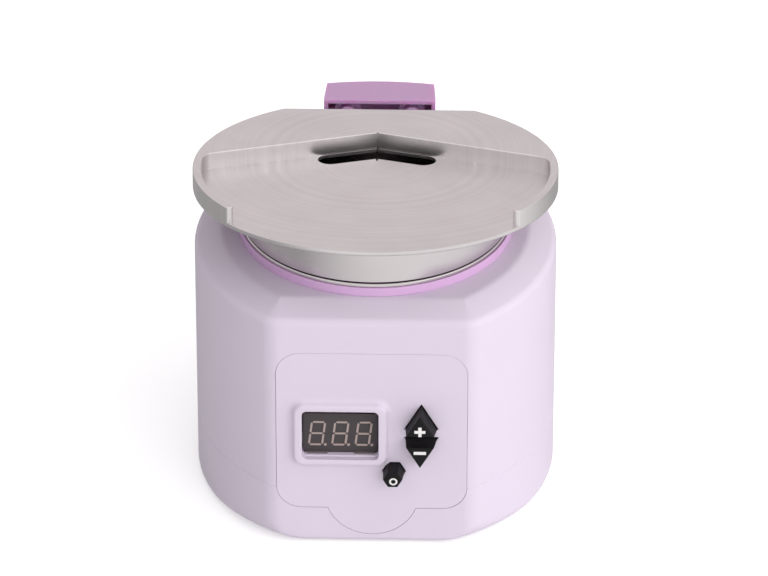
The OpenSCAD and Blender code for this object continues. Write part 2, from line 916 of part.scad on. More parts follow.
// The disc with its straight back edge
module plate_plan() {
    intersection() {
        circle(plate_r, $fn = 180);
        translate([-far, chord_y - far]) square([2 * far, far]);
    }
}

// Everything in front of the V wall, set back by a distance
module before_vee(back) {
    y = vee_y - back / cos(vee_angle);
    polygon([[0, y], [far, y - vee_drop], [far, -far], [-far, -far], [-far, y - vee_drop]]);
}

// Points along an arc, from one angle to another
function arc(cx, cy, r, a0, a1, n) = [for (i = [0:n]) [
    cx + r * cos(a0 + (a1 - a0) * i / n),
    cy + r * sin(a0 + (a1 - a0) * i / n)
]];

// The corner that stays outside the rounding between the V wall and the rim
module fillet_corner() {
    reach = pocket_r + 4;
    low = atan2(fillet_y, fillet_x);
    polygon(concat(
        arc(fillet_x, fillet_y, vee_fillet, low, 90 - vee_angle, 10),
        [[fillet_x, fillet_y + reach / 5], [reach, fillet_y + reach / 5], [reach, reach * tan(low)]]
    ));
}

// Plan of the tray of the plate: the disc inside the rim, rounded where the V wall meets it
module pocket_plan() {
    difference() {
        circle(pocket_r, $fn = 180);
        polygon([[0, vee_y], [far, vee_y - vee_drop], [far, far], [-far, far], [-far, vee_y - vee_drop]]);
        fillet_corner();
        mirror([1, 0]) fillet_corner();
    }
}

// The open front, between the two ends of the rim
module front_gap() {
    x = far * sin(rim_end_angle);
    y = -far * cos(rim_end_angle);
    polygon([[0, 0], [x, y], [x, -2 * far], [-x, -2 * far], [-x, y]]);
}

// The two arms of the drain slot, with round ends
module slot_plan() {
    half = slot_w / 2 / cos(vee_angle);
    polygon(concat(
        [[0, slot_mid_y + half]],
        arc(slot_end_x, slot_end_y, slot_w / 2, 90 - vee_angle, -90 - vee_angle, 16),
        [[0, slot_mid_y - half]],
        arc(-slot_end_x, slot_end_y, slot_w / 2, 270 + vee_angle, 90 + vee_angle, 16)
    ));
}

module hot_plate() {
    raised() color(steel) union() {
        plate_frame() difference() {
            union() {
                linear_extrude(plate_floor) plate_plan();
                translate([0, 0, plate_floor - lap]) linear_extrude(plate_depth + lap) difference() {
                    plate_plan();
                    pocket_plan();
                    front_gap();
                }
                translate([0, 0, plate_floor - lap]) linear_extrude(plate_depth + lap) intersection() {
                    circle(plate_r, $fn = 180);
                    for (i = [-1, 1]) {
                        rotate(-90 + i * rim_end_angle) translate([rim_mid_r, 0]) circle(rim_w / 2 + lap);
                    }
                }
            }
            translate([0, 0, plate_floor - channel_t]) linear_extrude(channel_t + 0.1) difference() {
                pocket_plan();
                before_vee(channel_w);
            }
            translate([0, 0, -1]) linear_extrude(plate_floor + 2) slot_plan();
            translate([-slit_w / 2, slit_y0, -1]) cube([slit_w, slit_y1 - slit_y0, plate_top + 2]);
            for (i = [-1, 1]) {
                translate([i * grip_screw_x, chord_y - grip_hole, spacer_z])
                    lying(grip_screw_r + fit_gap, grip_hole + 1);
            }
        }
        difference() {
            translate([0, 0, spigot_low]) difference() {
                cylinder(r = spigot_r, h = spigot_h);
                translate([0, 0, -1]) cylinder(r = spigot_r - spigot_wall, h = spigot_h + 2);
            }
            plate_frame() translate([-far, -far, plate_floor / 2]) cube([2 * far, 2 * far, far]);
        }
    }
}

// Plan of the grip, drawn in by a side and an outer margin: straight inner face, outer face on an arc
module grip_plan(side, back) {
    intersection() {
        polygon([
            [side - grip_w / 2, grip_y0 - side],
            [grip_w / 2 - side, grip_y0 - side],
            [grip_w / 2 - side, grip_y0 + 3],
            [grip_back_w / 2 - side, grip_y1],
            [side - grip_back_w / 2, grip_y1],
            [side - grip_w / 2, grip_y0 + 3]
        ]);
        circle(grip_y1 - back, $fn = 180);
    }
}

// A hollow moulding, open towards the plate, with two bosses that take the screws
module rear_grip() {
    c = grip_chamfer;
    raised() color(lilac) plate_frame() difference() {
        union() {
            difference() {
                translate([0, 0, grip_low]) linear_extrude(grip_h) grip_plan(0, 0);
                translate([0, 0, grip_low + grip_wall]) linear_extrude(grip_h - 2 * grip_wall)
                    grip_plan(grip_wall, grip_back_wall);
            }
            for (i = [-1, 1]) {
                translate([i * grip_screw_x, grip_y0 + 4, spacer_z])
                    lying(grip_boss_r, grip_d - 4 - grip_back_wall);
                translate([i * grip_screw_x, grip_y0, spacer_z]) lying(grip_bore_r, 5);
            }
        }
        translate([-grip_w, grip_y0, grip_top - c]) rotate([45, 0, 0]) translate([0, -1, 0])
            cube([2 * grip_w, 4, 4]);
        translate([-grip_w, grip_y1 - grip_bevel, grip_low]) rotate([30, 0, 0]) translate([0, 0, -6])
            cube([2 * grip_w, 12, 6]);
        for (i = [-1, 1]) {
            translate([i * grip_screw_x, grip_y0 - 1, spacer_z]) lying(grip_screw_r + 0.2, grip_d + 2);
            translate([i * grip_screw_x, grip_y0 + grip_seat, spacer_z]) lying(grip_bore_r, grip_d);
        }
    }
}

module grip_spacers() {
    raised() color(steel) plate_frame()
        for (i = [-1, 1]) {
            translate([i * grip_screw_x, chord_y, spacer_z]) difference() {
                lying(spacer_r, grip_gap);
                translate([0, -1, 0]) lying(grip_screw_r + fit_gap, grip_gap + 2);
            }
        }
}

module grip_screws() {
    raised() color(steel) plate_frame()
        for (i = [-1, 1]) {
            translate([i * grip_screw_x, grip_y0 + grip_seat + grip_head_t, spacer_z]) rotate([90, 0, 0])
                screw(grip_screw_r, grip_gap + grip_seat + grip_hole - 1, grip_head_r, grip_head_t);
        }
}

upper_housing();
base_tray();
rubber_feet();
housing_screws();
front_panel();
display_module();
display_segments();
plus_button();
minus_button();
mode_button();
tact_switches();
control_board();
board_screws();
collar_ring();
heater_well();
band_heater();
clamp_screw();
insulation_sleeve();
well_insulator();
temperature_sensor();
thermal_cutout();
cutout_screws();
heater_leads();
power_board();
power_board_screws();
dc_socket();
socket_nut();
wax_pot();
hot_plate();
rear_grip();
grip_spacers();
grip_screws();
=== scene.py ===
"""Looks of a small dental wax heater: lavender body, heated pot and tipped steel hot plate."""
import math

import bmesh
import bpy
from mathutils import Matrix, Vector


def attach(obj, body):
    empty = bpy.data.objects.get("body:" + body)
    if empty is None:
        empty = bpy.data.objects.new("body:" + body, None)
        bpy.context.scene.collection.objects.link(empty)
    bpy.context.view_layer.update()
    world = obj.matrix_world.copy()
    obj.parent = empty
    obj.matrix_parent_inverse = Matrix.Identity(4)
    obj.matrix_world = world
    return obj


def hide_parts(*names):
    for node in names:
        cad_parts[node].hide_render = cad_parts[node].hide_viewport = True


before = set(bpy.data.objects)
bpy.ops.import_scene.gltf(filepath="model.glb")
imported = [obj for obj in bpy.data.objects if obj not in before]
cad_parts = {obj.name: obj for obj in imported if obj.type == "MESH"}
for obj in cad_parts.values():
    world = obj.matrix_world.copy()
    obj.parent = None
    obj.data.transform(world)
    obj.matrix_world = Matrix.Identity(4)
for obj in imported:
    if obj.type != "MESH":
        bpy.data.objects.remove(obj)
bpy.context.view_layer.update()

MM = 0.001
QUARTER = math.pi / 2
LIFT = 0.8          # the feet hold the tray this far over the bench
OVER, DEEP = 6, 8   # how far a cutting shape stands out of a wall, and how far it goes through it

# Body, in millimetres over the underside of the tray
BODY_HALF_W, BODY_HALF_D = 54.9, 50.2
SIDE_R, EDGE_R, WALL = 63.4, 8.0, 2.5
SEAM_Z, CREASE_Z, TOP_Z, SHOULDER_IN = 19.5, 77.9, 81.8, 8.2
BASE_R, BASE_SWELL, SEAM = 53.4, 7.6, 0.15
HOUSING_ROUNDS, TOP_EDGE = [0.1, 3.0, 4.5], 1.2     # roundings at the seam, the crease and the top
INSIDE, INSIDE_TOP, MOUTH_GAP = 4.2, 5.5, 0.3       # the hollow's inset, low and under the shoulder
TRAY_ROUND, TRAY_FLOOR, TRAY_FLOOR_IN = 1.6, 3.0, 7.0
TRAY_LEVELS = (2.5, 4, 6, 8, 10, 12, 14, 16, 18, SEAM_Z - SEAM)
SHELL_EDGE, PANEL_EDGE = 0.16, 0.24                 # fine edge roundings
SIDE_C = SIDE_R - BODY_HALF_W
FRONT_Y = -BODY_HALF_D
FOOT_PLACE, FOOT_HOLE_R, FOOT_HOLE_DEPTH = (29, 34), 5.6, 1.2
SCREW_PLACE, SCREW_HOLE_R, SCREW_HOLE_DEPTH = (40, 26), 3.2, 9.0
SOCKET_Z, SOCKET_HOLE_R = 34.0, 5.6

# Front panel, display and keys
PANEL_HALF_W, PANEL_Z0, PANEL_Z1, PANEL_R, PANEL_T = 28.7, 12.1, 67.0, 7.5, 2.0
GROOVE = 0.07
TONGUE_R, TONGUE_Z = 14.0, 2.6
DISPLAY_X, DISPLAY_Z, DISPLAY_W, DISPLAY_H = -9.45, 37.8, 22.5, 14.0
FRAME_Z, FRAME_W, FRAME_H, FRAME_R, FRAME_OUT = 39.0, 28.0, 21.4, 3.2, 2.0
WINDOW_W, WINDOW_H, WINDOW_R = 23.0, 17.0, 1.5
DISPLAY_FACE = FRONT_Y - FRAME_OUT + 3.6
# The frame's hollow curve from panel to crest, and its wall down to the window: how far outside the
# frame or window, and how far out of the panel
FRAME_COVE = ((1.7, 0.5), (1.7, 0.0), (1.05, -0.1), (0.55, -0.35), (0.2, -0.8), (0.0, -1.25),
              (-0.12, -1.6), (-0.4, -1.88), (-0.9, -2.0))
WINDOW_LINING = ((0.3, -2.0), (0.08, -1.92), (0.0, -1.7), (0.0, 0.6))
MODULE_D, MODULE_R = 7, 0.3
CLIP_ENDS = ((-19.3, -13.3), (-5.1, 0.8))           # left and right end of each clip
CLIP_H, CLIP_R, CLIP_OUT, CLIP_IN = 0.9, 0.15, 1.0, 0.3
DIGIT_H, DIGIT_W, DIGIT_PITCH, DIGIT_SLANT = 8.6, 4.6, 7.0, 7.0
SEGMENT_W, SEGMENT_T, SEGMENT_GAP, SEGMENT_SUNK = 0.62, 0.15, 0.4, 0.05
POINT_R, POINT_OUT = 0.45, 0.15
KEY_OUT, KEY_TAPER, KEY_LEAN = 5.4, 1.3, 0.35
ARROW_X, ARROW_SIDE, PLUS_BASE_Z, MINUS_BASE_Z = 14.9, 9.6, 40.6, 37.5
ARROW_H = ARROW_SIDE * math.sqrt(3) / 2
MODE_X, MODE_Z, MODE_W = 6.7, 25.5, 6.6
KEY_GAP, KEY_CLEAR, KEY_ROUND = 0.25, 0.6, 0.5      # round the key, behind the panel, at the crown
HEX_CORNER = 1.155  # a hexagon's corners move out this much faster than its sides
# Marks on the crowns, and how far the ink stands out of them and reaches into them
MARK_X, PLUS_MARK_Z, PLUS_HALF_W, PLUS_HALF_H = 14.55, 43.0, 0.5, 1.65
MINUS_MARK_Z, MINUS_MARK_W, MINUS_MARK_H, MINUS_MARK_R = 35.5, 3.7, 1.05, 0.05
RING_MARK_X, RING_MARK_Z, RING_MARK_IN_R, RING_MARK_R = 6.6, 25.2, 0.72, 1.25
INK_OUT, INK_SUNK = 0.03, 0.02

# Heater, pot and plate
COLLAR_R, COLLAR_H, COLLAR_IN_R, COLLAR_LOW, COLLAR_SPIGOT_R = 41.5, 2.8, 38.5, 77.9, 39.9
LIP_R, LIP_TOP, LIP_LOW, WELL_R, WELL_OUT_R = 40.9, 85.7, 84.1, 36.3, 38.2
WELL_SEAT, WELL_UNDER = 60.4, 55.4
POT_R, POT_SHOULDER, POT_LOW_R, POT_IN_R, SEAT_R, SEAT_Z = 40.8, 86.1, 36.0, 34.0, 38.6, 88.3
POT_FLOOR, POT_CUT_Z, LIP_FIT = 2.5, 112, 0.04
PLATE_R, PLATE_TIP, PLATE_Z = 55.2, 8.5, 95.5
PLATE_FLOOR, PLATE_DEPTH = 1.4, 4.9
PLATE_TOP = PLATE_FLOOR + PLATE_DEPTH
CHORD_Y, RIM_W, RIM_END = 46.8, 2.5, 52.6
TRAY_R = PLATE_R - RIM_W
VEE_Y, VEE_ANGLE, VEE_FILLET = 27.5, 20.0, 5.0
CHANNEL_W, CHANNEL_T = 10.1, 0.4
SLOT_W, SLOT_SET_BACK, SLOT_REACH = 7.7, 0.12, 18.0
SLIT_W, SLIT_Y0, SLIT_Y1 = 0.6, 16.6, 28.3
SPIGOT_R, SPIGOT_IN_R, SPIGOT_LOW, SPIGOT_CUT_Z, SPIGOT_FIT = 38.3, 36.3, 88.6, 120, 0.02
RIM_EDGE, FLOOR_EDGE, UNDER_EDGE = 0.25, 0.3, 0.6   # fine edge roundings of the plate
TOUCH, SHARP = 0.01, 0.9                            # at the same level; a turn in radians
CUT_HALF, CUT_HIGH, CUT_THROUGH = 80, 60, 20        # blocks that cut the pot and the plate
GRIP_W, GRIP_BACK_W, GRIP_D, GRIP_H, GRIP_GAP, GRIP_UP = 34.5, 33.4, 16.5, 14.0, 6.1, 0.5
GRIP_WALL, GRIP_BACK_WALL, GRIP_SCREW_X, GRIP_SCREW_Z = 1.2, 2.5, 10.0, 1.85
GRIP_BOSS_R, GRIP_NOSE_R, GRIP_BORE_R, GRIP_SEAT = 4.1, 2.6, 2.6, 6.0
GRIP_BOSS_START, GRIP_BOSS_END, GRIP_NOSE_END, GRIP_SHANK_R = 4, 1.5, 5, 1.3
GRIP_CORNER_Y, GRIP_ROUND, GRIP_EDGE = 3, 1.2, 0.15

# Patterns of the materials. A noise mostly keeps between these two levels.
NOISE_LOW, NOISE_HIGH = 0.3, 0.7
ABS_GRAIN, ABS_GRAIN_DEPTH, ABS_CLOUDS, ABS_GLOW_REACH = 0.35, 0.02, 30, 3
STEEL_CLOUDS, STEEL_MARK_DEPTH = 14, 0.01
GRAIN_DARK = 0.85   # the dark spots of a fine grain against its light ones


def linear(channel):
    return channel / 12.92 if channel <= 0.04045 else ((channel + 0.055) / 1.055) ** 2.4


def srgb(code):
    return tuple(linear(int(code[i:i + 2], 16) / 255) for i in (1, 3, 5)) + (1.0,)


def add_node(material, kind, settings=(), inputs=()):
    """Adds one node; an input that is a socket becomes a link, anything else a value."""
    tree = material.node_tree
    made = tree.nodes.new(kind)
    for name, value in dict(settings).items():
        setattr(made, name, value)
    for name, value in dict(inputs).items():
        if isinstance(value, bpy.types.NodeSocket):
            tree.links.new(value, made.inputs[name])
        else:
            made.inputs[name].default_value = value
    return made


def new_material(name):
    material = bpy.data.materials.new(name)
    material.use_nodes = True
    return material, material.node_tree.nodes["Principled BSDF"]


def set_shader(material, shader, **values):
    """Sets the shader's inputs: a plain value on the socket itself, a socket as a link."""
    for name, value in values.items():
        target = shader.inputs[name.replace("_", " ")]
        if isinstance(value, bpy.types.NodeSocket):
            material.node_tree.links.new(value, target)
        else:
            target.default_value = value


def object_place(material, turn=0.0):
    """Object coordinates in metres, turned about X where the piece is tipped."""
    coords = add_node(material, "ShaderNodeTexCoord")
    return add_node(material, "ShaderNodeMapping", inputs={
        "Vector": coords.outputs["Object"], "Rotation": (math.radians(turn), 0, 0)}).outputs["Vector"]


def moulded_plastic(name, shade, cloud_shade, roughness, glow=0.0):
    """Injection moulded ABS off a spark-eroded tool: a grain that breaks up the gloss, under a very
    slight clouding of the colour over some 30 mm. The real grain is about 0.1 mm, too fine to show,
    and is drawn at 0.35 mm. Light passes a little way into thin walls and comes out redder."""
    material, shader = new_material(name)
    place = object_place(material)
    grain = add_node(material, "ShaderNodeTexNoise", inputs={
        "Vector": place, "Scale": 1 / (ABS_GRAIN * MM), "Detail": 2.0}).outputs["Fac"]
    clouds = add_node(material, "ShaderNodeTexNoise", inputs={
        "Vector": place, "Scale": 1 / (ABS_CLOUDS * MM), "Detail": 3.0}).outputs["Fac"]
    colour = add_node(material, "ShaderNodeMix", {"data_type": "RGBA"}, {
        "Factor": clouds, "A": srgb(shade), "B": srgb(cloud_shade)}).outputs["Result"]
    gloss = add_node(material, "ShaderNodeMapRange", inputs={
        "Value": grain, "From Min": NOISE_LOW, "From Max": NOISE_HIGH,
        "To Min": roughness - 0.06, "To Max": roughness + 0.08}).outputs["Result"]
    bumps = add_node(material, "ShaderNodeBump", inputs={
        "Height": grain, "Strength": 0.1, "Distance": ABS_GRAIN_DEPTH * MM}).outputs["Normal"]
    set_shader(material, shader, Base_Color=colour, Roughness=gloss, Normal=bumps, IOR=1.53,
               Subsurface_Weight=glow, Subsurface_Radius=(1.0, 0.35, 0.6),
               Subsurface_Scale=ABS_GLOW_REACH * MM)
    return material


def cut_steel(name, bright, dull, roughness, pitch, along, turn=0.0):
    """Stainless steel off a lathe: marks one pitch apart, in rings on a face and up the side of a
    turned wall. They stretch the gloss across the marks, and clouds of 14 mm dull it unevenly."""
    material, shader = new_material(name)
    place = object_place(material, turn)
    split = add_node(material, "ShaderNodeSeparateXYZ", inputs={"Vector": place})
    flat = add_node(material, "ShaderNodeCombineXYZ", inputs={
        "X": split.outputs["X"], "Y": split.outputs["Y"]})
    radius = add_node(material, "ShaderNodeVectorMath", {"operation": "LENGTH"},
                      {"Vector": flat.outputs["Vector"]}).outputs["Value"]
    marks = add_node(material, "ShaderNodeTexNoise", {"noise_dimensions": "1D"}, {
        "W": radius if along == "rings" else split.outputs["Z"], "Scale": 1 / (pitch * MM),
        "Detail": 3.0, "Roughness": 0.7}).outputs["Fac"]
    clouds = add_node(material, "ShaderNodeTexNoise", inputs={
        "Vector": place, "Scale": 1 / (STEEL_CLOUDS * MM), "Detail": 4.0}).outputs["Fac"]
    wear = add_node(material, "ShaderNodeMix", inputs={
        "Factor": 0.5, "A": marks, "B": clouds}).outputs["Result"]
    colour = add_node(material, "ShaderNodeMix", {"data_type": "RGBA"}, {
        "Factor": wear, "A": srgb(dull), "B": srgb(bright)}).outputs["Result"]
    gloss = add_node(material, "ShaderNodeMapRange", inputs={
        "Value": wear, "From Min": NOISE_LOW, "From Max": NOISE_HIGH,
        "To Min": roughness + 0.05, "To Max": roughness - 0.05}).outputs["Result"]
    bumps = add_node(material, "ShaderNodeBump", inputs={
        "Height": marks, "Strength": 0.25, "Distance": STEEL_MARK_DEPTH * MM}).outputs["Normal"]
    set_shader(material, shader, Base_Color=colour, Roughness=gloss, Normal=bumps, Metallic=1.0)
    return material


def fine_finish(name, shade, roughness, grain=0.3, depth=0.02, metallic=0.0, gloss=0.5):
    """One colour with a fine even grain, for moulded, plated, printed and fibrous small parts. The
    real grain is mostly under 0.1 mm and is drawn at 0.2 to 0.8 mm, so that it shows."""
    material, shader = new_material(name)
    spots = add_node(material, "ShaderNodeTexNoise", inputs={
        "Vector": object_place(material), "Scale": 1 / (grain * MM), "Detail": 3.0}).outputs["Fac"]
    base = srgb(shade)
    darker = tuple(GRAIN_DARK * channel for channel in base[:3]) + (1.0,)
    colour = add_node(material, "ShaderNodeMix", {"data_type": "RGBA"}, {
        "Factor": spots, "A": darker, "B": base}).outputs["Result"]
    bumps = add_node(material, "ShaderNodeBump", inputs={
        "Height": spots, "Strength": 0.2, "Distance": depth * MM}).outputs["Normal"]
    set_shader(material, shader, Base_Color=colour, Roughness=roughness, Normal=bumps,
               Metallic=metallic, Specular_IOR_Level=gloss)
    return material


# Pale violet body colour: a soft sheen with no sharp highlight
LAVENDER = moulded_plastic("lavender_abs_spark_textured", "#DCD1E0", "#D7CBDC", 0.42)
# The stronger violet of the collar, a little glossier
LILAC = moulded_plastic("lilac_abs_moulded", "#D9B2DB", "#D4ABD6", 0.34)
# The grip: a shade darker than the collar, and warm where light comes through its thin walls
GRIP_LILAC = moulded_plastic("lilac_abs_thin_walled", "#C69DC6", "#C096C1", 0.4, glow=0.8)
# Satin black that stays dark in the light of the softboxes
KEY_BLACK = fine_finish("black_abs_moulded_keys", "#0E0D0F", 0.5, gloss=0.22)
# Flat white marks on the keys
KEY_WHITE = fine_finish("white_ink_pad_printed", "#F2EFEE", 0.5)
# Light grey working face with rings of the facing cut. The real feed is about 0.2 mm, too fine to
# show, so the rings are drawn 2.2 mm apart.
PLATE_STEEL = cut_steel("stainless_steel_faced", "#E8E4E4", "#CAC4C5", 0.32, 2.2, "rings", PLATE_TIP)
# Brighter drum and well, which mirror their surroundings in upright streaks
DRUM_STEEL = cut_steel("stainless_steel_turned_bright", "#DCD6D7", "#CEC7C9", 0.2, 0.25, "height")
# Warm dark grey block behind the window
DISPLAY_RESIN = fine_finish("smoked_epoxy_cast_face", "#4A4446", 0.5, grain=0.4, gloss=0.3)
# Pale bars that are switched off
SEGMENT_RESIN = fine_finish("milky_epoxy_unlit_bars", "#AE9C97", 0.5, grain=0.25)
# Half-gloss grey clips that hold the module in its window
CLIP_GREY = fine_finish("grey_nylon_moulded_clips", "#7C7276", 0.35)
# Dull black feet
FOOT_RUBBER = fine_finish("black_rubber_moulded_feet", "#26252A", 0.8)
# Grey metal sparkle on fasteners
SCREW_STEEL = fine_finish("zinc_plated_steel_screws", "#B9B7B4", 0.3, metallic=1.0)
# Brownish sheath round the well
BAND_STEEL = fine_finish("heat_tinted_steel_sheath", "#9A8E80", 0.4, metallic=1.0)
# Bottle green with a half gloss
BOARD_GREEN = fine_finish("green_solder_mask_on_glass_laminate", "#1F6B43", 0.45, grain=0.2)
# Off-white and dull, with a coarse fluffy surface
FELT = fine_finish("needled_ceramic_felt", "#DDDAD0", 0.95, grain=0.8, depth=0.2)
# Sand coloured and matt, like unglazed pottery
CERAMIC = fine_finish("pressed_steatite_unglazed", "#C2B79F", 0.7, grain=0.2)
# Brick red with a soft sheen
SILICONE = fine_finish("red_silicone_extruded", "#A82A24", 0.5, grain=0.2)
# Near black with a soft sheen round the inlet
SOCKET_BLACK = fine_finish("black_nylon_moulded_socket", "#242326", 0.5)


def rounded_path(points, radii, steps=5):
    """Rounds the inner corners of an open path in two dimensions."""
    path = [tuple(points[0])]
    for before, here, after, radius in zip(points, points[1:], points[2:], radii):
        a, b, c = (Vector(p) for p in (before, here, after))
        into, out = (b - a).normalized(), (c - b).normalized()
        turn = math.acos(max(-1.0, min(1.0, into.dot(out))))
        if radius <= 0 or turn < 1e-4:
            path.append(tuple(b))
            continue
        side = 1.0 if into.x * out.y - into.y * out.x > 0 else -1.0
        start = b - into * radius * math.tan(turn / 2)
        centre = start + Vector((-into.y, into.x)) * side * radius
        spoke = start - centre
        for k in range(steps + 1):
            angle = side * turn * k / steps
            path.append((centre.x + spoke.x * math.cos(angle) - spoke.y * math.sin(angle),
                         centre.y + spoke.x * math.sin(angle) + spoke.y * math.cos(angle)))
    path.append(tuple(points[-1]))
    return path


def arc(cx, cy, radius, start, end, steps):
    return [(cx + radius * math.cos(start + (end - start) * k / steps),
             cy + radius * math.sin(start + (end - start) * k / steps)) for k in range(steps + 1)]


def circle(cx, cy, radius, steps=48):
    return arc(cx, cy, radius, 0, 2 * math.pi, steps)[:-1]


def bridge_rings(rings, closed=False):
    """Skins a row of loops that have the same number of points; the ends are capped unless closed."""
    bm = bmesh.new()
    loops = []
    for ring in rings:
        verts = [bm.verts.new([c * MM for c in point]) for point in ring]
        loops.append([bm.edges.new((verts[k - 1], verts[k])) for k in range(len(verts))])
    for first, second in list(zip(loops, loops[1:])) + ([(loops[-1], loops[0])] if closed else []):
        bmesh.ops.bridge_loops(bm, edges=first + second)
    if not closed:
        for loop in (loops[0], loops[-1]):
            bmesh.ops.contextual_create(bm, geom=loop)
    bmesh.ops.recalc_face_normals(bm, faces=bm.faces)
    return bm


def spin_profile(profile, steps=192):
    """Turns a closed profile of (radius, height) about the Z axis."""
    bm = bmesh.new()
    verts = [bm.verts.new((r * MM, 0, z * MM)) for r, z in profile]
    edges = [bm.edges.new((verts[k - 1], verts[k])) for k in range(len(verts))]
    bmesh.ops.spin(bm, geom=verts + edges, cent=(0, 0, 0), axis=(0, 0, 1), angle=2 * math.pi,
                   steps=steps, use_merge=True)
    bmesh.ops.remove_doubles(bm, verts=bm.verts, dist=0.002 * MM)
    bmesh.ops.recalc_face_normals(bm, faces=bm.faces)
    return bm


def prism(outline, low, high, upright=True):
    """Extrudes an outline along Z, or along Y where it is drawn on the front."""
    bm = bmesh.new()
    verts = [bm.verts.new([c * MM for c in ((u, v, low) if upright else (u, low, v))]) for u, v in outline]
    out = bmesh.ops.extrude_face_region(bm, geom=[bm.faces.new(verts)])
    rise = (high - low) * MM
    bmesh.ops.translate(bm, verts=[g for g in out["geom"] if isinstance(g, bmesh.types.BMVert)],
                        vec=(0, 0, rise) if upright else (0, rise, 0))
    bmesh.ops.recalc_face_normals(bm, faces=bm.faces)
    return bm


def front_prism(outline, low, high):
    return prism(outline, low, high, upright=False)


def add_to(bm, other):
    """Puts a second shape beside those already in a mesh."""
    scratch = bpy.data.meshes.new("scratch")
    other.to_mesh(scratch)
    other.free()
    bm.from_mesh(scratch)
    bpy.data.meshes.remove(scratch)


def make_object(name, bm, lift=LIFT):
    bmesh.ops.translate(bm, verts=bm.verts, vec=(0, 0, lift * MM))
    mesh = bpy.data.meshes.new(name)
    bm.to_mesh(mesh)
    bm.free()
    made = bpy.data.objects.new(name, mesh)
    bpy.context.collection.objects.link(made)
    return made


def tip_like_plate(bm):
    """From the plate's own level frame to its tipped place on the pot."""
    place = Matrix.Translation((0, 0, PLATE_Z * MM)) @ Matrix.Rotation(math.radians(-PLATE_TIP), 4, "X")
    bmesh.ops.transform(bm, matrix=place, verts=bm.verts)
    return bm


def seat_on_pot(made):
    """Moves a piece that was drawn in the plate's level frame to its place on the pot."""
    bm = bmesh.new()
    bm.from_mesh(made.data)
    tip_like_plate(bm)
    bmesh.ops.translate(bm, verts=bm.verts, vec=(0, 0, LIFT * MM))
    bm.to_mesh(made.data)
    bm.free()


def bake_modifiers(made):
    graph = bpy.context.evaluated_depsgraph_get()
    mesh = bpy.data.meshes.new_from_object(made.evaluated_get(graph))
    made.modifiers.clear()
    made.data = mesh


def combine(made, shapes, operation="DIFFERENCE", lift=LIFT):
    """Cuts solid shapes from a piece, or joins them to it, one after the other."""
    for shape in shapes:
        other = make_object("shape", shape, lift)
        boolean = made.modifiers.new("boolean", "BOOLEAN")
        boolean.operation = operation
        boolean.solver = "EXACT"
        boolean.object = other
        bpy.context.view_layer.update()
        bake_modifiers(made)
        bpy.data.objects.remove(other)
    return made


def round_edges(made, chosen, width, segments=3):
    """Bevels the edges that a test on the edge picks out."""
    bm = bmesh.new()
    bm.from_mesh(made.data)
    bmesh.ops.dissolve_limit(bm, angle_limit=math.radians(0.1), verts=bm.verts, edges=bm.edges)
    edges = [e for e in bm.edges if len(e.link_faces) == 2 and chosen(e)]
    bmesh.ops.bevel(bm, geom=edges, offset=width * MM, segments=segments, profile=0.5, affect="EDGES",
                    material=-1, clamp_overlap=True)
    bm.to_mesh(made.data)
    bm.free()
    return made


def finish_piece(made, material, body, nodes=(), bevel=0.0, segments=2, angle=50,
                 smooth=35):
    """Rounds a piece's edges, sets its shading and material, and gives it to its body."""
    if bevel:
        rounding = made.modifiers.new("soft edges", "BEVEL")
        rounding.width = bevel * MM
        rounding.segments = segments
        rounding.limit_method = "ANGLE"
        rounding.angle_limit = math.radians(angle)
        bake_modifiers(made)
    for face in made.data.polygons:
        face.use_smooth = True
    made.data.set_sharp_from_angle(angle=math.radians(smooth))
    weighted = made.modifiers.new("even shading", "WEIGHTED_NORMAL")
    weighted.keep_sharp = True
    made.data.materials.clear()
    made.data.materials.append(material)
    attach(made, body)
    if nodes:
        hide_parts(*nodes)
    return made


def plan_points(inset):
    """Outline of the body: two wide side arcs, two flats and four rounded upright edges."""
    corner = max(EDGE_R - inset, 0.3)
    edge_y = BODY_HALF_D - inset - corner
    reach = SIDE_R - inset - corner
    edge_x = math.sqrt(reach ** 2 - edge_y ** 2) - SIDE_C
    turn = math.asin(edge_y / reach)
    side = arc(-SIDE_C, 0, SIDE_R - inset, 0, turn, 24)
    bend = arc(edge_x, edge_y, corner, turn, QUARTER, 10)[1:]
    flat = [(edge_x * (1 - k / 12), BODY_HALF_D - inset) for k in range(1, 13)]
    upper = side + bend + flat
    upper += [(-x, y) for x, y in reversed(upper[:-1])]
    return upper + [(x, -y) for x, y in reversed(upper[1:-1])]


def body_ring(inset, z):
    """The outline at one height; below the joint the foot draws it in."""
    limit = 1e3
    if z < SEAM_Z:
        limit = BASE_R - inset + BASE_SWELL * math.sqrt(max(0.0, 1 - (1 - max(z, 0) / SEAM_Z) ** 2))
    ring = []
    for x, y in plan_points(inset):
        k = min(1.0, limit / math.hypot(x, y))
        ring.append((x * k, y * k, z))
    return ring


def circle_ring(radius, z):
    return [(radius * x / math.hypot(x, y), radius * y / math.hypot(x, y), z)
            for x, y in plan_points(0)]


def panel_outline(grow=0.0):
    w, z0, z1, r = PANEL_HALF_W + grow, PANEL_Z0 - grow, PANEL_Z1 + grow, PANEL_R + grow
    tongue, mid = TONGUE_R + grow, TONGUE_Z + TONGUE_R
    half = math.acos((mid - z0) / tongue)
    return (arc(w - r, z1 - r, r, 0, QUARTER, 12) + arc(r - w, z1 - r, r, QUARTER, 2 * QUARTER, 12)
            + arc(r - w, z0 + r, r, 2 * QUARTER, 3 * QUARTER, 12)
            + arc(0, mid, tongue, 3 * QUARTER - half, 3 * QUARTER + half, 32)
            + arc(w - r, z0 + r, r, 3 * QUARTER, 4 * QUARTER, 12)[:-1])


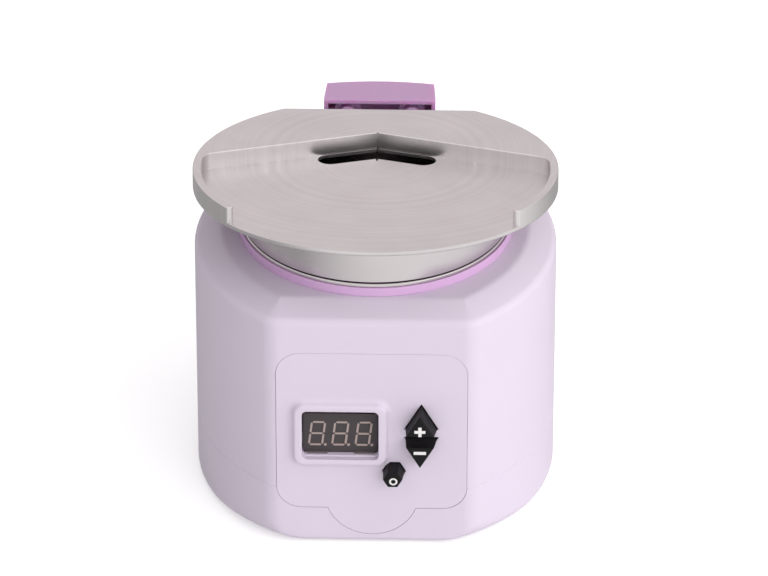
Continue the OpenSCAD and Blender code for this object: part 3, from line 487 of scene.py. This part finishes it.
def round_rect(w, h, r, cx, cz, steps=8):
    points = []
    for k, (sx, sz) in enumerate(((1, 1), (-1, 1), (-1, -1), (1, -1))):
        points += arc(cx + sx * (w / 2 - r), cz + sz * (h / 2 - r), r,
                      k * QUARTER, (k + 1) * QUARTER, steps)
    return points


def lying_cylinder(radius, x, y0, y1, z, steps=48):
    return front_prism(circle(x, z, radius, steps), y0, y1)


def upper_housing():
    """Moulded shell: sloping shoulder, the panel's pocket, window, mouth and inlet hole."""
    outer = rounded_path(
        [(SEAM, SEAM_Z), (0.0, SEAM_Z + SEAM), (0.0, CREASE_Z), (SHOULDER_IN, TOP_Z),
         (SHOULDER_IN + TOP_EDGE, TOP_Z)], HOUSING_ROUNDS, steps=8)[:-1]
    made = make_object("upper_housing_shell", bridge_rings([body_ring(inset, z) for inset, z in outer]))
    mouth_r = COLLAR_SPIGOT_R + MOUTH_GAP
    hollow = bridge_rings([body_ring(INSIDE, SEAM_Z - 1), body_ring(INSIDE, CREASE_Z - 8),
                           body_ring(INSIDE_TOP, CREASE_Z - 4), circle_ring(mouth_r + 1, TOP_Z - WALL)])
    combine(made, [
        hollow, prism(circle(0, 0, mouth_r, 192), TOP_Z - DEEP, TOP_Z + 2),
        front_prism(panel_outline(GROOVE), FRONT_Y - OVER, FRONT_Y + PANEL_T),
        front_prism(round_rect(WINDOW_W, WINDOW_H, 1.0, DISPLAY_X, FRAME_Z), FRONT_Y - OVER,
                    FRONT_Y + DEEP),
        lying_cylinder(SOCKET_HOLE_R, 0, BODY_HALF_D - DEEP, BODY_HALF_D + DEEP, SOCKET_Z)])
    return finish_piece(made, LAVENDER, "housing", ["upper_housing"],
                        bevel=SHELL_EDGE)


def base_tray():
    """Lower shell: swelling foot, its part of the panel's pocket, pockets for feet and screws."""
    under = rounded_path([(6.0, 0.0), (0.0, 0.0), (0.0, 4.0)], [TRAY_ROUND], steps=6)[:-1]
    rings = [body_ring(inset, z) for inset, z in under]
    rings += [body_ring(0, z) for z in TRAY_LEVELS] + [body_ring(SEAM, SEAM_Z)]
    made = make_object("base_tray_shell", bridge_rings(rings))
    holes = []
    for (x, y), radius, depth in ((FOOT_PLACE, FOOT_HOLE_R, FOOT_HOLE_DEPTH),
                                  (SCREW_PLACE, SCREW_HOLE_R, SCREW_HOLE_DEPTH)):
        holes += [prism(circle(sx * x, sy * y, radius), -1, depth) for sx in (-1, 1) for sy in (-1, 1)]
    hollow = bridge_rings([body_ring(TRAY_FLOOR_IN, TRAY_FLOOR), body_ring(INSIDE, TRAY_FLOOR + 5),
                           body_ring(INSIDE, SEAM_Z + 2)])
    panel = front_prism(panel_outline(GROOVE), FRONT_Y - OVER, FRONT_Y + PANEL_T)
    combine(made, [hollow, panel] + holes)
    return finish_piece(made, LAVENDER, "housing", ["base_tray"], bevel=SHELL_EDGE)


def key_outline(which, grow=0.0, shift=0.0):
    """Outline of a key on the front; a negative growth gives its crown."""
    if which == "mode":
        r = MODE_W / 2 + grow * HEX_CORNER
        angles, cx, cz, up = range(0, 360, 60), MODE_X, MODE_Z, 1
    else:
        up = 1 if which == "plus" else -1
        r = ARROW_SIDE / math.sqrt(3) + 2 * grow
        angles, cx = (90, 210, 330), ARROW_X
        cz = (PLUS_BASE_Z if up == 1 else MINUS_BASE_Z) + up * ARROW_H / 3
    return [(cx + shift + r * math.cos(math.radians(a)), cz + up * r * math.sin(math.radians(a)))
            for a in angles]


def front_panel():
    """Flush plate with its key holes, and the raised frame that runs out into it in a hollow curve."""
    made = make_object("front_panel_plate", front_prism(panel_outline(), FRONT_Y, FRONT_Y + PANEL_T))
    holes = [key_outline(which, KEY_GAP) for which in ("plus", "minus", "mode")]
    holes.append(round_rect(WINDOW_W, WINDOW_H - 1, 1.0, DISPLAY_X, FRAME_Z))
    combine(made, [front_prism(outline, FRONT_Y - 3, FRONT_Y + PANEL_T + 1) for outline in holes])
    finish_piece(made, LAVENDER, "housing", ["front_panel"], bevel=PANEL_EDGE)

    def ring(w, h, r, out):
        return [(x, FRONT_Y + out, z) for x, z in round_rect(w, h, r, DISPLAY_X, FRAME_Z)]

    rings = [ring(FRAME_W + 2 * g, FRAME_H + 2 * g, FRAME_R + g, out) for g, out in FRAME_COVE]
    rings += [ring(WINDOW_W + 2 * g, WINDOW_H + 2 * g, WINDOW_R + g, out) for g, out in WINDOW_LINING]
    bezel = make_object("display_bezel", bridge_rings(rings, closed=True))
    return finish_piece(bezel, LAVENDER, "housing", ["front_panel"], smooth=60)


def key_mark(which, crown):
    """White print on a crown: a plus, a minus, and a plain ring on the six-sided key."""
    out, sunk = crown - INK_OUT, crown + INK_SUNK
    if which == "plus":
        w, h = PLUS_HALF_W, PLUS_HALF_H
        shape = [(w, h), (-w, h), (-w, w), (-h, w), (-h, -w), (-w, -w), (-w, -h), (w, -h), (w, -w),
                 (h, -w), (h, w), (w, w)]
        return front_prism([(MARK_X + u, PLUS_MARK_Z + v) for u, v in shape], out, sunk)
    if which == "minus":
        return front_prism(round_rect(MINUS_MARK_W, MINUS_MARK_H, MINUS_MARK_R, MARK_X, MINUS_MARK_Z,
                                      steps=2), out, sunk)
    ring = spin_profile([(RING_MARK_IN_R, -INK_OUT), (RING_MARK_R, -INK_OUT), (RING_MARK_R, INK_SUNK),
                         (RING_MARK_IN_R, INK_SUNK)], steps=48)
    bmesh.ops.rotate(ring, verts=ring.verts, cent=(0, 0, 0), matrix=Matrix.Rotation(-QUARTER, 3, "X"))
    bmesh.ops.translate(ring, verts=ring.verts, vec=(RING_MARK_X * MM, crown * MM, RING_MARK_Z * MM))
    return ring


def key_button(which, body, node):
    """A key whose crown draws in and leans a little to the left, as in the photo."""
    back, crown = FRONT_Y + PANEL_T - KEY_CLEAR, FRONT_Y - KEY_OUT
    # Place from back to crown, with the growth and the sideways shift of the outline there
    levels = ((back, 0.0, 0.0), (FRONT_Y - 0.3, 0.0, 0.0),
              (crown + KEY_ROUND, -0.5 * KEY_TAPER / 2, -0.9 * KEY_LEAN),
              (crown, -KEY_TAPER / 2, -KEY_LEAN))
    rings = [[(x, y, z) for x, z in key_outline(which, grow, shift)] for y, grow, shift in levels]
    made = make_object(node + "_cap", bridge_rings(rings))
    finish_piece(made, KEY_BLACK, body, [node], bevel=0.15, segments=3, angle=20)
    ink = make_object(node + "_mark", key_mark(which, crown))
    return finish_piece(ink, KEY_WHITE, body)


def display():
    """Module with two clips under its window, and three unlit figures with their points."""
    block = make_object("display_block", front_prism(
        round_rect(DISPLAY_W, DISPLAY_H, MODULE_R, DISPLAY_X, DISPLAY_Z, steps=3), DISPLAY_FACE,
        DISPLAY_FACE + MODULE_D))
    finish_piece(block, DISPLAY_RESIN, "housing", ["display_module"], bevel=0.15)
    sill = FRAME_Z - WINDOW_H / 2
    clips = bmesh.new()
    for x0, x1 in CLIP_ENDS:
        add_to(clips, front_prism(round_rect(x1 - x0, CLIP_H, CLIP_R, (x0 + x1) / 2, sill + CLIP_H / 2,
                                             steps=2), DISPLAY_FACE - CLIP_OUT, DISPLAY_FACE + CLIP_IN))
    finish_piece(make_object("display_clips", clips), CLIP_GREY, "housing", ["display_module"],
                 bevel=0.08)
    lean = math.tan(math.radians(DIGIT_SLANT))
    half, side = (DIGIT_H - SEGMENT_W) / 2, (DIGIT_W - SEGMENT_W) / 2
    steep = math.radians(90 - DIGIT_SLANT)
    t = SEGMENT_W / 2
    bars = bmesh.new()

    def add_bar(outline):
        add_to(bars, front_prism(outline, DISPLAY_FACE - SEGMENT_T, DISPLAY_FACE + SEGMENT_SUNK))

    for digit in (-1, 0, 1):
        cx = DISPLAY_X + digit * DIGIT_PITCH
        # Middle of each bar, its length and its angle: three lie flat and four stand
        places = [(k * half * lean, k * half, DIGIT_W - SEGMENT_W - SEGMENT_GAP, 0.0) for k in (-1, 0, 1)]
        places += [(s * side + k * half * lean, k * half, half - SEGMENT_GAP, steep)
                   for s in (-1, 1) for k in (-0.5, 0.5)]
        for dx, dz, length, angle in places:
            e = length / 2
            shape = [(-e, 0), (-e + t, t), (e - t, t), (e, 0), (e - t, -t), (-e + t, -t)]
            add_bar([(cx + dx + u * math.cos(angle) - v * math.sin(angle),
                      DISPLAY_Z + dz + u * math.sin(angle) + v * math.cos(angle)) for u, v in shape])
        add_bar(circle(cx + DIGIT_W / 2 + POINT_OUT, DISPLAY_Z - half, POINT_R, 24))
    made = make_object("display_figure_bars", bars)
    return finish_piece(made, SEGMENT_RESIN, "housing", ["display_segments"])


def collar_ring():
    """Moulded ring round the mouth, with a spigot below and a seat for the well's lip."""
    top, seat_r = TOP_Z + COLLAR_H, LIP_R + LIP_FIT
    profile = rounded_path(
        [(COLLAR_IN_R, COLLAR_LOW + 1), (COLLAR_IN_R, COLLAR_LOW), (COLLAR_SPIGOT_R, COLLAR_LOW),
         (COLLAR_SPIGOT_R, TOP_Z), (COLLAR_R, TOP_Z), (COLLAR_R, top), (seat_r, top),
         (seat_r, LIP_LOW), (COLLAR_IN_R, LIP_LOW)], [0.2, 0.2, 0, 0.15, 0.35, 0.1, 0], steps=5)
    made = make_object("collar_ring_moulded", spin_profile(profile))
    return finish_piece(made, LILAC, "housing", ["collar_ring"])


def heater_well():
    """Turned cup that hangs by its lip."""
    profile = rounded_path(
        [(0.01, WELL_UNDER), (WELL_OUT_R, WELL_UNDER), (WELL_OUT_R, LIP_LOW), (LIP_R, LIP_LOW),
         (LIP_R, LIP_TOP), (WELL_R, LIP_TOP), (WELL_R, WELL_SEAT), (0.01, WELL_SEAT)],
        [0.5, 0.2, 0.2, 0.45, 0.3, 1.0], steps=5)
    made = make_object("heater_well_turned", spin_profile(profile))
    return finish_piece(made, DRUM_STEEL, "housing", ["heater_well"])


def tipped_slab(low):
    """A wide block whose underside lies along the plate, a given height over the plate's own."""
    w = CUT_HALF
    return tip_like_plate(prism([(-w, -w), (w, -w), (w, w), (-w, w)], low, low + CUT_HIGH))


def wax_pot():
    """Turned drum with a stepped foot, whose rim is cut off along the plate's tip."""
    floor = WELL_SEAT + POT_FLOOR
    profile = rounded_path(
        [(0.01, WELL_SEAT), (POT_LOW_R, WELL_SEAT), (POT_LOW_R, POT_SHOULDER), (POT_R, POT_SHOULDER),
         (POT_R, POT_CUT_Z), (SEAT_R, POT_CUT_Z), (SEAT_R, SEAT_Z), (POT_IN_R, SEAT_Z),
         (POT_IN_R, floor), (0.01, floor)], [1.0, 0.2, 0.35, 0, 0, 0.3, 0.4, 2.0], steps=5)
    made = combine(make_object("wax_pot_turned", spin_profile(profile)), [tipped_slab(0)])
    return finish_piece(made, DRUM_STEEL, "pot", ["wax_pot"])


def vee_corner():
    """Where the V wall's rounding meets the inside of the rim: its centre and its angle there."""
    slope = math.tan(math.radians(VEE_ANGLE))
    h = VEE_Y - VEE_FILLET / math.cos(math.radians(VEE_ANGLE))
    fx = line_reach(h, TRAY_R - VEE_FILLET)
    fy = h - fx * slope
    return fx, fy, math.atan2(fy, fx)


def line_reach(level, radius):
    """How far out a line along the V, at a given level on the centre line, meets a circle."""
    slope = math.tan(math.radians(VEE_ANGLE))
    a = 1 + slope ** 2
    return (level * slope + math.sqrt((level * slope) ** 2 - a * (level ** 2 - radius ** 2))) / a


def tray_outline():
    """Hollow of the plate, anticlockwise: V wall and its two roundings, the inside of the rim, and
    the open front, where each end of the rim is a half circle."""
    lean, end, mid = math.radians(VEE_ANGLE), math.radians(RIM_END), PLATE_R - RIM_W / 2
    fx, fy, low = vee_corner()
    inside = arc(0, 0, TRAY_R, end - QUARTER, low, 80)
    rounding = arc(fx, fy, VEE_FILLET, low, QUARTER - lean, 12)
    along = Vector((math.sin(end), -math.cos(end)))
    over = Vector((-math.cos(end), -math.sin(end)))
    half_circle = [k * math.pi / 14 for k in range(15)]
    tip = [along * (mid + RIM_W / 2 * math.cos(a)) + over * (RIM_W / 2 * math.sin(a)) for a in half_circle]
    right = [tuple(along * 2 * PLATE_R)] + [tuple(p) for p in tip] + inside[1:] + rounding[1:]
    left = [(-x, y) for x, y in reversed(right)]
    return right + [(0, VEE_Y)] + left + [(0, -3 * PLATE_R)]


def channel_outline():
    """The shallow channel in front of the V wall, a hair inside the wall's foot all round."""
    lean, slack = math.radians(VEE_ANGLE), 0.03
    front, back = VEE_Y - CHANNEL_W / math.cos(lean), VEE_Y - slack / math.cos(lean)
    fx, fy, low = vee_corner()
    x0 = line_reach(front, TRAY_R - slack)
    start = math.atan2(front - x0 * math.tan(lean), x0)
    right = arc(0, 0, TRAY_R - slack, start, low, 20)
    right += arc(fx, fy, VEE_FILLET - slack, low, QUARTER - lean, 12)[1:]
    return [(0, front)] + right + [(0, back)] + [(-x, y) for x, y in reversed(right)]


def slot_outline():
    """The drain slot: a band along the V with round ends."""
    lean = math.radians(VEE_ANGLE)
    mid = VEE_Y - (SLOT_W / 2 + SLOT_SET_BACK) / math.cos(lean)
    ex = SLOT_REACH - SLOT_W / 2
    ey = mid - ex * math.tan(lean)
    half = SLOT_W / 2 / math.cos(lean)
    right = arc(ex, ey, SLOT_W / 2, QUARTER - lean, -QUARTER - lean, 24)
    return [(0, mid + half)] + right + [(0, mid - half)] + [(-x, y) for x, y in reversed(right)]


def hot_plate():
    """Round plate with a straight back edge, rimmed tray, V wall, drain slot and seating ring."""
    start = math.asin(CHORD_Y / PLATE_R)
    disc = arc(0, 0, PLATE_R, math.pi - start, 2 * math.pi + start, 220)
    made = make_object("hot_plate_turned", prism(disc, 0, PLATE_TOP), 0)
    slit = [(-SLIT_W / 2, SLIT_Y0), (SLIT_W / 2, SLIT_Y0), (SLIT_W / 2, SLIT_Y1), (-SLIT_W / 2, SLIT_Y1)]
    combine(made, [prism(tray_outline(), PLATE_FLOOR, CUT_THROUGH),
                   prism(channel_outline(), PLATE_FLOOR - CHANNEL_T, CUT_THROUGH / 2),
                   prism(slot_outline(), -5, CUT_THROUGH), prism(slit, -5, CUT_THROUGH)], lift=0)

    def on_top(edge):
        return all(v.co.z > (PLATE_TOP - TOUCH) * MM for v in edge.verts) \
            and edge.calc_face_angle(0) > SHARP

    def on_floor(edge):
        return all(abs(v.co.z - PLATE_FLOOR * MM) < TOUCH * MM for v in edge.verts) \
            and edge.is_convex and edge.calc_face_angle(0) > SHARP

    def on_underside(edge):
        return all(v.co.z < TOUCH * MM and v.co.xy.length > (CHORD_Y - 0.1) * MM for v in edge.verts) \
            and edge.calc_face_angle(0) > SHARP

    round_edges(made, on_top, RIM_EDGE)
    round_edges(made, on_floor, FLOOR_EDGE, segments=2)
    round_edges(made, on_underside, UNDER_EDGE)
    seat_on_pot(made)
    ring = spin_profile([(SPIGOT_R, SPIGOT_LOW), (SPIGOT_R, SPIGOT_CUT_Z), (SPIGOT_IN_R, SPIGOT_CUT_Z),
                         (SPIGOT_IN_R, SPIGOT_LOW)])
    seat = combine(make_object("seating_ring", ring), [tipped_slab(SPIGOT_FIT)])
    finish_piece(seat, PLATE_STEEL, "plate", ["hot_plate"])
    return finish_piece(made, PLATE_STEEL, "plate", ["hot_plate"], smooth=40)


def rear_grip():
    """Hollow moulding behind the plate, open towards it, with two bosses for its screws."""
    y0 = CHORD_Y + GRIP_GAP
    y1 = y0 + GRIP_D
    top, low = PLATE_TOP + GRIP_UP, PLATE_TOP + GRIP_UP - GRIP_H

    def plan(side, back, front):
        half, far = GRIP_W / 2 - side, GRIP_BACK_W / 2 - side
        curve = [(x, math.sqrt((y1 - back) ** 2 - x ** 2)) for x in [far * (1 - k / 12) for k in range(25)]]
        corner = y0 + GRIP_CORNER_Y
        return [(-half, corner), (-half, y0 - front), (half, y0 - front), (half, corner)] + curve

    def behind_mouth(edge):
        return edge.calc_face_angle(0) > 0.6 and min(v.co.y for v in edge.verts) > (y0 + 1) * MM

    made = make_object("rear_grip_moulded", prism(plan(0, 0, 0), low, top), 0)
    round_edges(made, behind_mouth, GRIP_ROUND, segments=4)
    combine(made, [prism(plan(GRIP_WALL, GRIP_BACK_WALL, 2), low + GRIP_WALL, top - GRIP_WALL)], lift=0)
    for x in (-GRIP_SCREW_X, GRIP_SCREW_X):
        boss = lying_cylinder(GRIP_BOSS_R, x, y0 + GRIP_BOSS_START, y1 - GRIP_BOSS_END, GRIP_SCREW_Z)
        nose = lying_cylinder(GRIP_NOSE_R, x, y0, y0 + GRIP_NOSE_END, GRIP_SCREW_Z)
        combine(made, [boss, nose], "UNION", lift=0)
        combine(made, [lying_cylinder(GRIP_SHANK_R, x, y0 - 1, y1 + 2, GRIP_SCREW_Z),
                       lying_cylinder(GRIP_BORE_R, x, y0 + GRIP_SEAT, y1 + 3, GRIP_SCREW_Z)], lift=0)
    seat_on_pot(made)
    return finish_piece(made, GRIP_LILAC, "plate", ["rear_grip"], bevel=GRIP_EDGE)


CAD_FINISHES = {
    FOOT_RUBBER: ["rubber_feet"],
    SCREW_STEEL: ["housing_screws", "board_screws", "clamp_screw", "temperature_sensor", "cutout_screws",
                  "power_board_screws", "socket_nut", "grip_spacers", "grip_screws"],
    SOCKET_BLACK: ["tact_switches", "dc_socket"],
    BOARD_GREEN: ["control_board", "power_board"],
    BAND_STEEL: ["band_heater"],
    FELT: ["insulation_sleeve", "well_insulator"],
    CERAMIC: ["thermal_cutout"],
    SILICONE: ["heater_leads"],
}


def dress_cad_nodes():
    """Gives the CAD nodes that show as they are their real finish."""
    for material, names in CAD_FINISHES.items():
        for name in names:
            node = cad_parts[name]
            node.data.materials.clear()
            node.data.materials.append(material)


# Studio, in metres. Strengths are in Blender's units, and a strength of 1 shows as white.
PAPER_HALF, PAPER_WHITE, PAPER_LIFT = 3.0, (0.9, 0.9, 0.9, 1), 0.4
MIRROR_WAY, MIRROR_FROM, MIRROR_TO = (0.6, -0.8, 0), -0.02, 0.17
MIRROR_LOW, MIRROR_HIGH = 0.43, 1.0
SIDE_FROM, SIDE_TO, SIDE_LOW, SIDE_HIGH = -0.8, 0.5, 0.32, 0.68
FRONT_FROM, FRONT_TO, FRONT_LOW, FRONT_HIGH = -0.3, -1.0, 0.0, 0.4
KEY_LIGHT_WAY = (0.82, -0.54, 0.2)
KEY_LIGHT_FROM, KEY_LIGHT_TO, KEY_LIGHT_LOW, KEY_LIGHT_HIGH = 0.4, 1.0, 0.0, 1.15
BACKDROP_FROM, BACKDROP_TO, BACKDROP_LOW, BACKDROP_HIGH = -0.6, 0.6, 0.95, 0.785
WARM_FROM, WARM_TO, WARM_WHITE = 0.0, 0.8, (1, 0.94, 0.955, 1)
LAMP_TARGET = (0, 0, 0.06)


def studio_floor():
    """White paper under the heater. Camera rays see it lighter, so only its close shadows stay, and
    mirror rays see it brighter towards the front right."""
    sheet = bmesh.new()
    bmesh.ops.create_grid(sheet, x_segments=1, y_segments=1, size=PAPER_HALF)
    floor = make_object("studio_floor", sheet, 0)
    material, shader = new_material("white_paper_matt")
    set_shader(material, shader, Base_Color=PAPER_WHITE, Roughness=0.9)
    path = add_node(material, "ShaderNodeLightPath").outputs
    lift = add_node(material, "ShaderNodeMath", {"operation": "MULTIPLY"}, {
        0: path["Is Camera Ray"], 1: PAPER_LIFT})
    glow = add_node(material, "ShaderNodeEmission", inputs={"Strength": lift.outputs[0]})
    lifted = add_node(material, "ShaderNodeAddShader", inputs={0: shader.outputs[0], 1: glow.outputs[0]})
    towards = add_node(material, "ShaderNodeVectorMath", {"operation": "DOT_PRODUCT"}, {
        0: object_place(material), 1: MIRROR_WAY}).outputs["Value"]
    level = add_node(material, "ShaderNodeMapRange", inputs={
        "Value": towards, "From Min": MIRROR_FROM, "From Max": MIRROR_TO,
        "To Min": MIRROR_LOW, "To Max": MIRROR_HIGH})
    mirrored = add_node(material, "ShaderNodeEmission", inputs={"Strength": level.outputs[0]})
    mixed = add_node(material, "ShaderNodeMixShader", inputs={
        0: path["Is Glossy Ray"], 1: lifted.outputs[0], 2: mirrored.outputs[0]})
    output = material.node_tree.nodes["Material Output"]
    material.node_tree.links.new(mixed.outputs[0], output.inputs["Surface"])
    floor.data.materials.append(material)


def studio_air():
    """A sky that lights the heater more from the right and the front, and most from the front right.
    Camera and mirror rays see an even backdrop instead. Light from behind is a little warm."""
    world = bpy.data.worlds.new("studio_air")
    bpy.context.scene.world = world
    world.use_nodes = True
    sky = add_node(world, "ShaderNodeTexCoord")
    split = add_node(world, "ShaderNodeSeparateXYZ", inputs={"Vector": sky.outputs["Generated"]})
    side = add_node(world, "ShaderNodeMapRange", {"interpolation_type": "SMOOTHSTEP"}, {
        "Value": split.outputs["X"], "From Min": SIDE_FROM, "From Max": SIDE_TO,
        "To Min": SIDE_LOW, "To Max": SIDE_HIGH})
    backdrop = add_node(world, "ShaderNodeMapRange", inputs={
        "Value": split.outputs["Y"], "From Min": BACKDROP_FROM, "From Max": BACKDROP_TO,
        "To Min": BACKDROP_LOW, "To Max": BACKDROP_HIGH})
    front = add_node(world, "ShaderNodeMapRange", {"interpolation_type": "SMOOTHSTEP"}, {
        "Value": split.outputs["Y"], "From Min": FRONT_FROM, "From Max": FRONT_TO,
        "To Min": FRONT_LOW, "To Max": FRONT_HIGH})
    key_way = add_node(world, "ShaderNodeVectorMath", {"operation": "DOT_PRODUCT"}, {
        0: sky.outputs["Generated"], 1: KEY_LIGHT_WAY}).outputs["Value"]
    key_light = add_node(world, "ShaderNodeMapRange", {"interpolation_type": "SMOOTHSTEP"}, {
        "Value": key_way, "From Min": KEY_LIGHT_FROM, "From Max": KEY_LIGHT_TO,
        "To Min": KEY_LIGHT_LOW, "To Max": KEY_LIGHT_HIGH})
    lit = add_node(world, "ShaderNodeMath", inputs={0: side.outputs["Result"], 1: front.outputs["Result"]})
    lit = add_node(world, "ShaderNodeMath", inputs={0: lit.outputs[0], 1: key_light.outputs["Result"]})
    path = add_node(world, "ShaderNodeLightPath").outputs
    seen = add_node(world, "ShaderNodeMath", {"operation": "MAXIMUM"}, {
        0: path["Is Camera Ray"], 1: path["Is Glossy Ray"]})
    strength = add_node(world, "ShaderNodeMix", inputs={
        "Factor": seen.outputs[0], "A": lit.outputs[0], "B": backdrop.outputs["Result"]})
    warm = add_node(world, "ShaderNodeMapRange", inputs={
        "Value": split.outputs["Y"], "From Min": WARM_FROM, "From Max": WARM_TO,
        "To Min": 0.0, "To Max": 1.0})
    tint = add_node(world, "ShaderNodeMix", {"data_type": "RGBA"}, {
        "Factor": warm.outputs["Result"], "A": (1, 1, 1, 1), "B": WARM_WHITE}).outputs["Result"]
    back = world.node_tree.nodes["Background"]
    world.node_tree.links.new(tint, back.inputs["Color"])
    world.node_tree.links.new(strength.outputs["Result"], back.inputs["Strength"])


def softbox(name, place, size, watts):
    data = bpy.data.lights.new(name, "AREA")
    data.shape = "RECTANGLE"
    data.size, data.size_y = size
    data.energy = watts
    made = bpy.data.objects.new(name, data)
    made.location = place
    made.rotation_euler = (Vector(LAMP_TARGET) - Vector(place)).to_track_quat("-Z", "Y").to_euler()
    bpy.context.collection.objects.link(made)


# Camera at the photograph's viewing angle: it stands this far round and up, and this far away
CAMERA_ROUND, CAMERA_UP, CAMERA_AWAY = math.radians(1.3), math.radians(31.7), 1.9
CAMERA_AIM, CAMERA_LENS, CAMERA_SENSOR = (2.56 * MM, 0, 60 * MM), 292.0, 36.0


def camera():
    aim = Vector(CAMERA_AIM)
    back = Vector((math.sin(CAMERA_ROUND) * math.cos(CAMERA_UP),
                   -math.cos(CAMERA_ROUND) * math.cos(CAMERA_UP), math.sin(CAMERA_UP)))
    data = bpy.data.cameras.new("photo_view")
    data.lens, data.sensor_width = CAMERA_LENS, CAMERA_SENSOR
    data.clip_start, data.clip_end = 0.05, 20
    made = bpy.data.objects.new("photo_view", data)
    made.location = aim + back * CAMERA_AWAY
    made.rotation_euler = (-back).to_track_quat("-Z", "Y").to_euler()
    bpy.context.collection.objects.link(made)
    bpy.context.scene.camera = made


camera()
studio_floor()
studio_air()
softbox("softbox_right", (1.2, -0.8, 0.6), (1.7, 1.1), 2.5)
softbox("softbox_top", (0.0, 0.0, 1.3), (2.4, 2.4), 5)
upper_housing()
base_tray()
front_panel()
key_button("plus", "plus_key", "plus_button")
key_button("minus", "minus_key", "minus_button")
key_button("mode", "mode_key", "mode_button")
display()
collar_ring()
heater_well()
wax_pot()
hot_plate()
rear_grip()
dress_cad_nodes()

bpy.context.scene.view_settings.view_transform = "Standard"
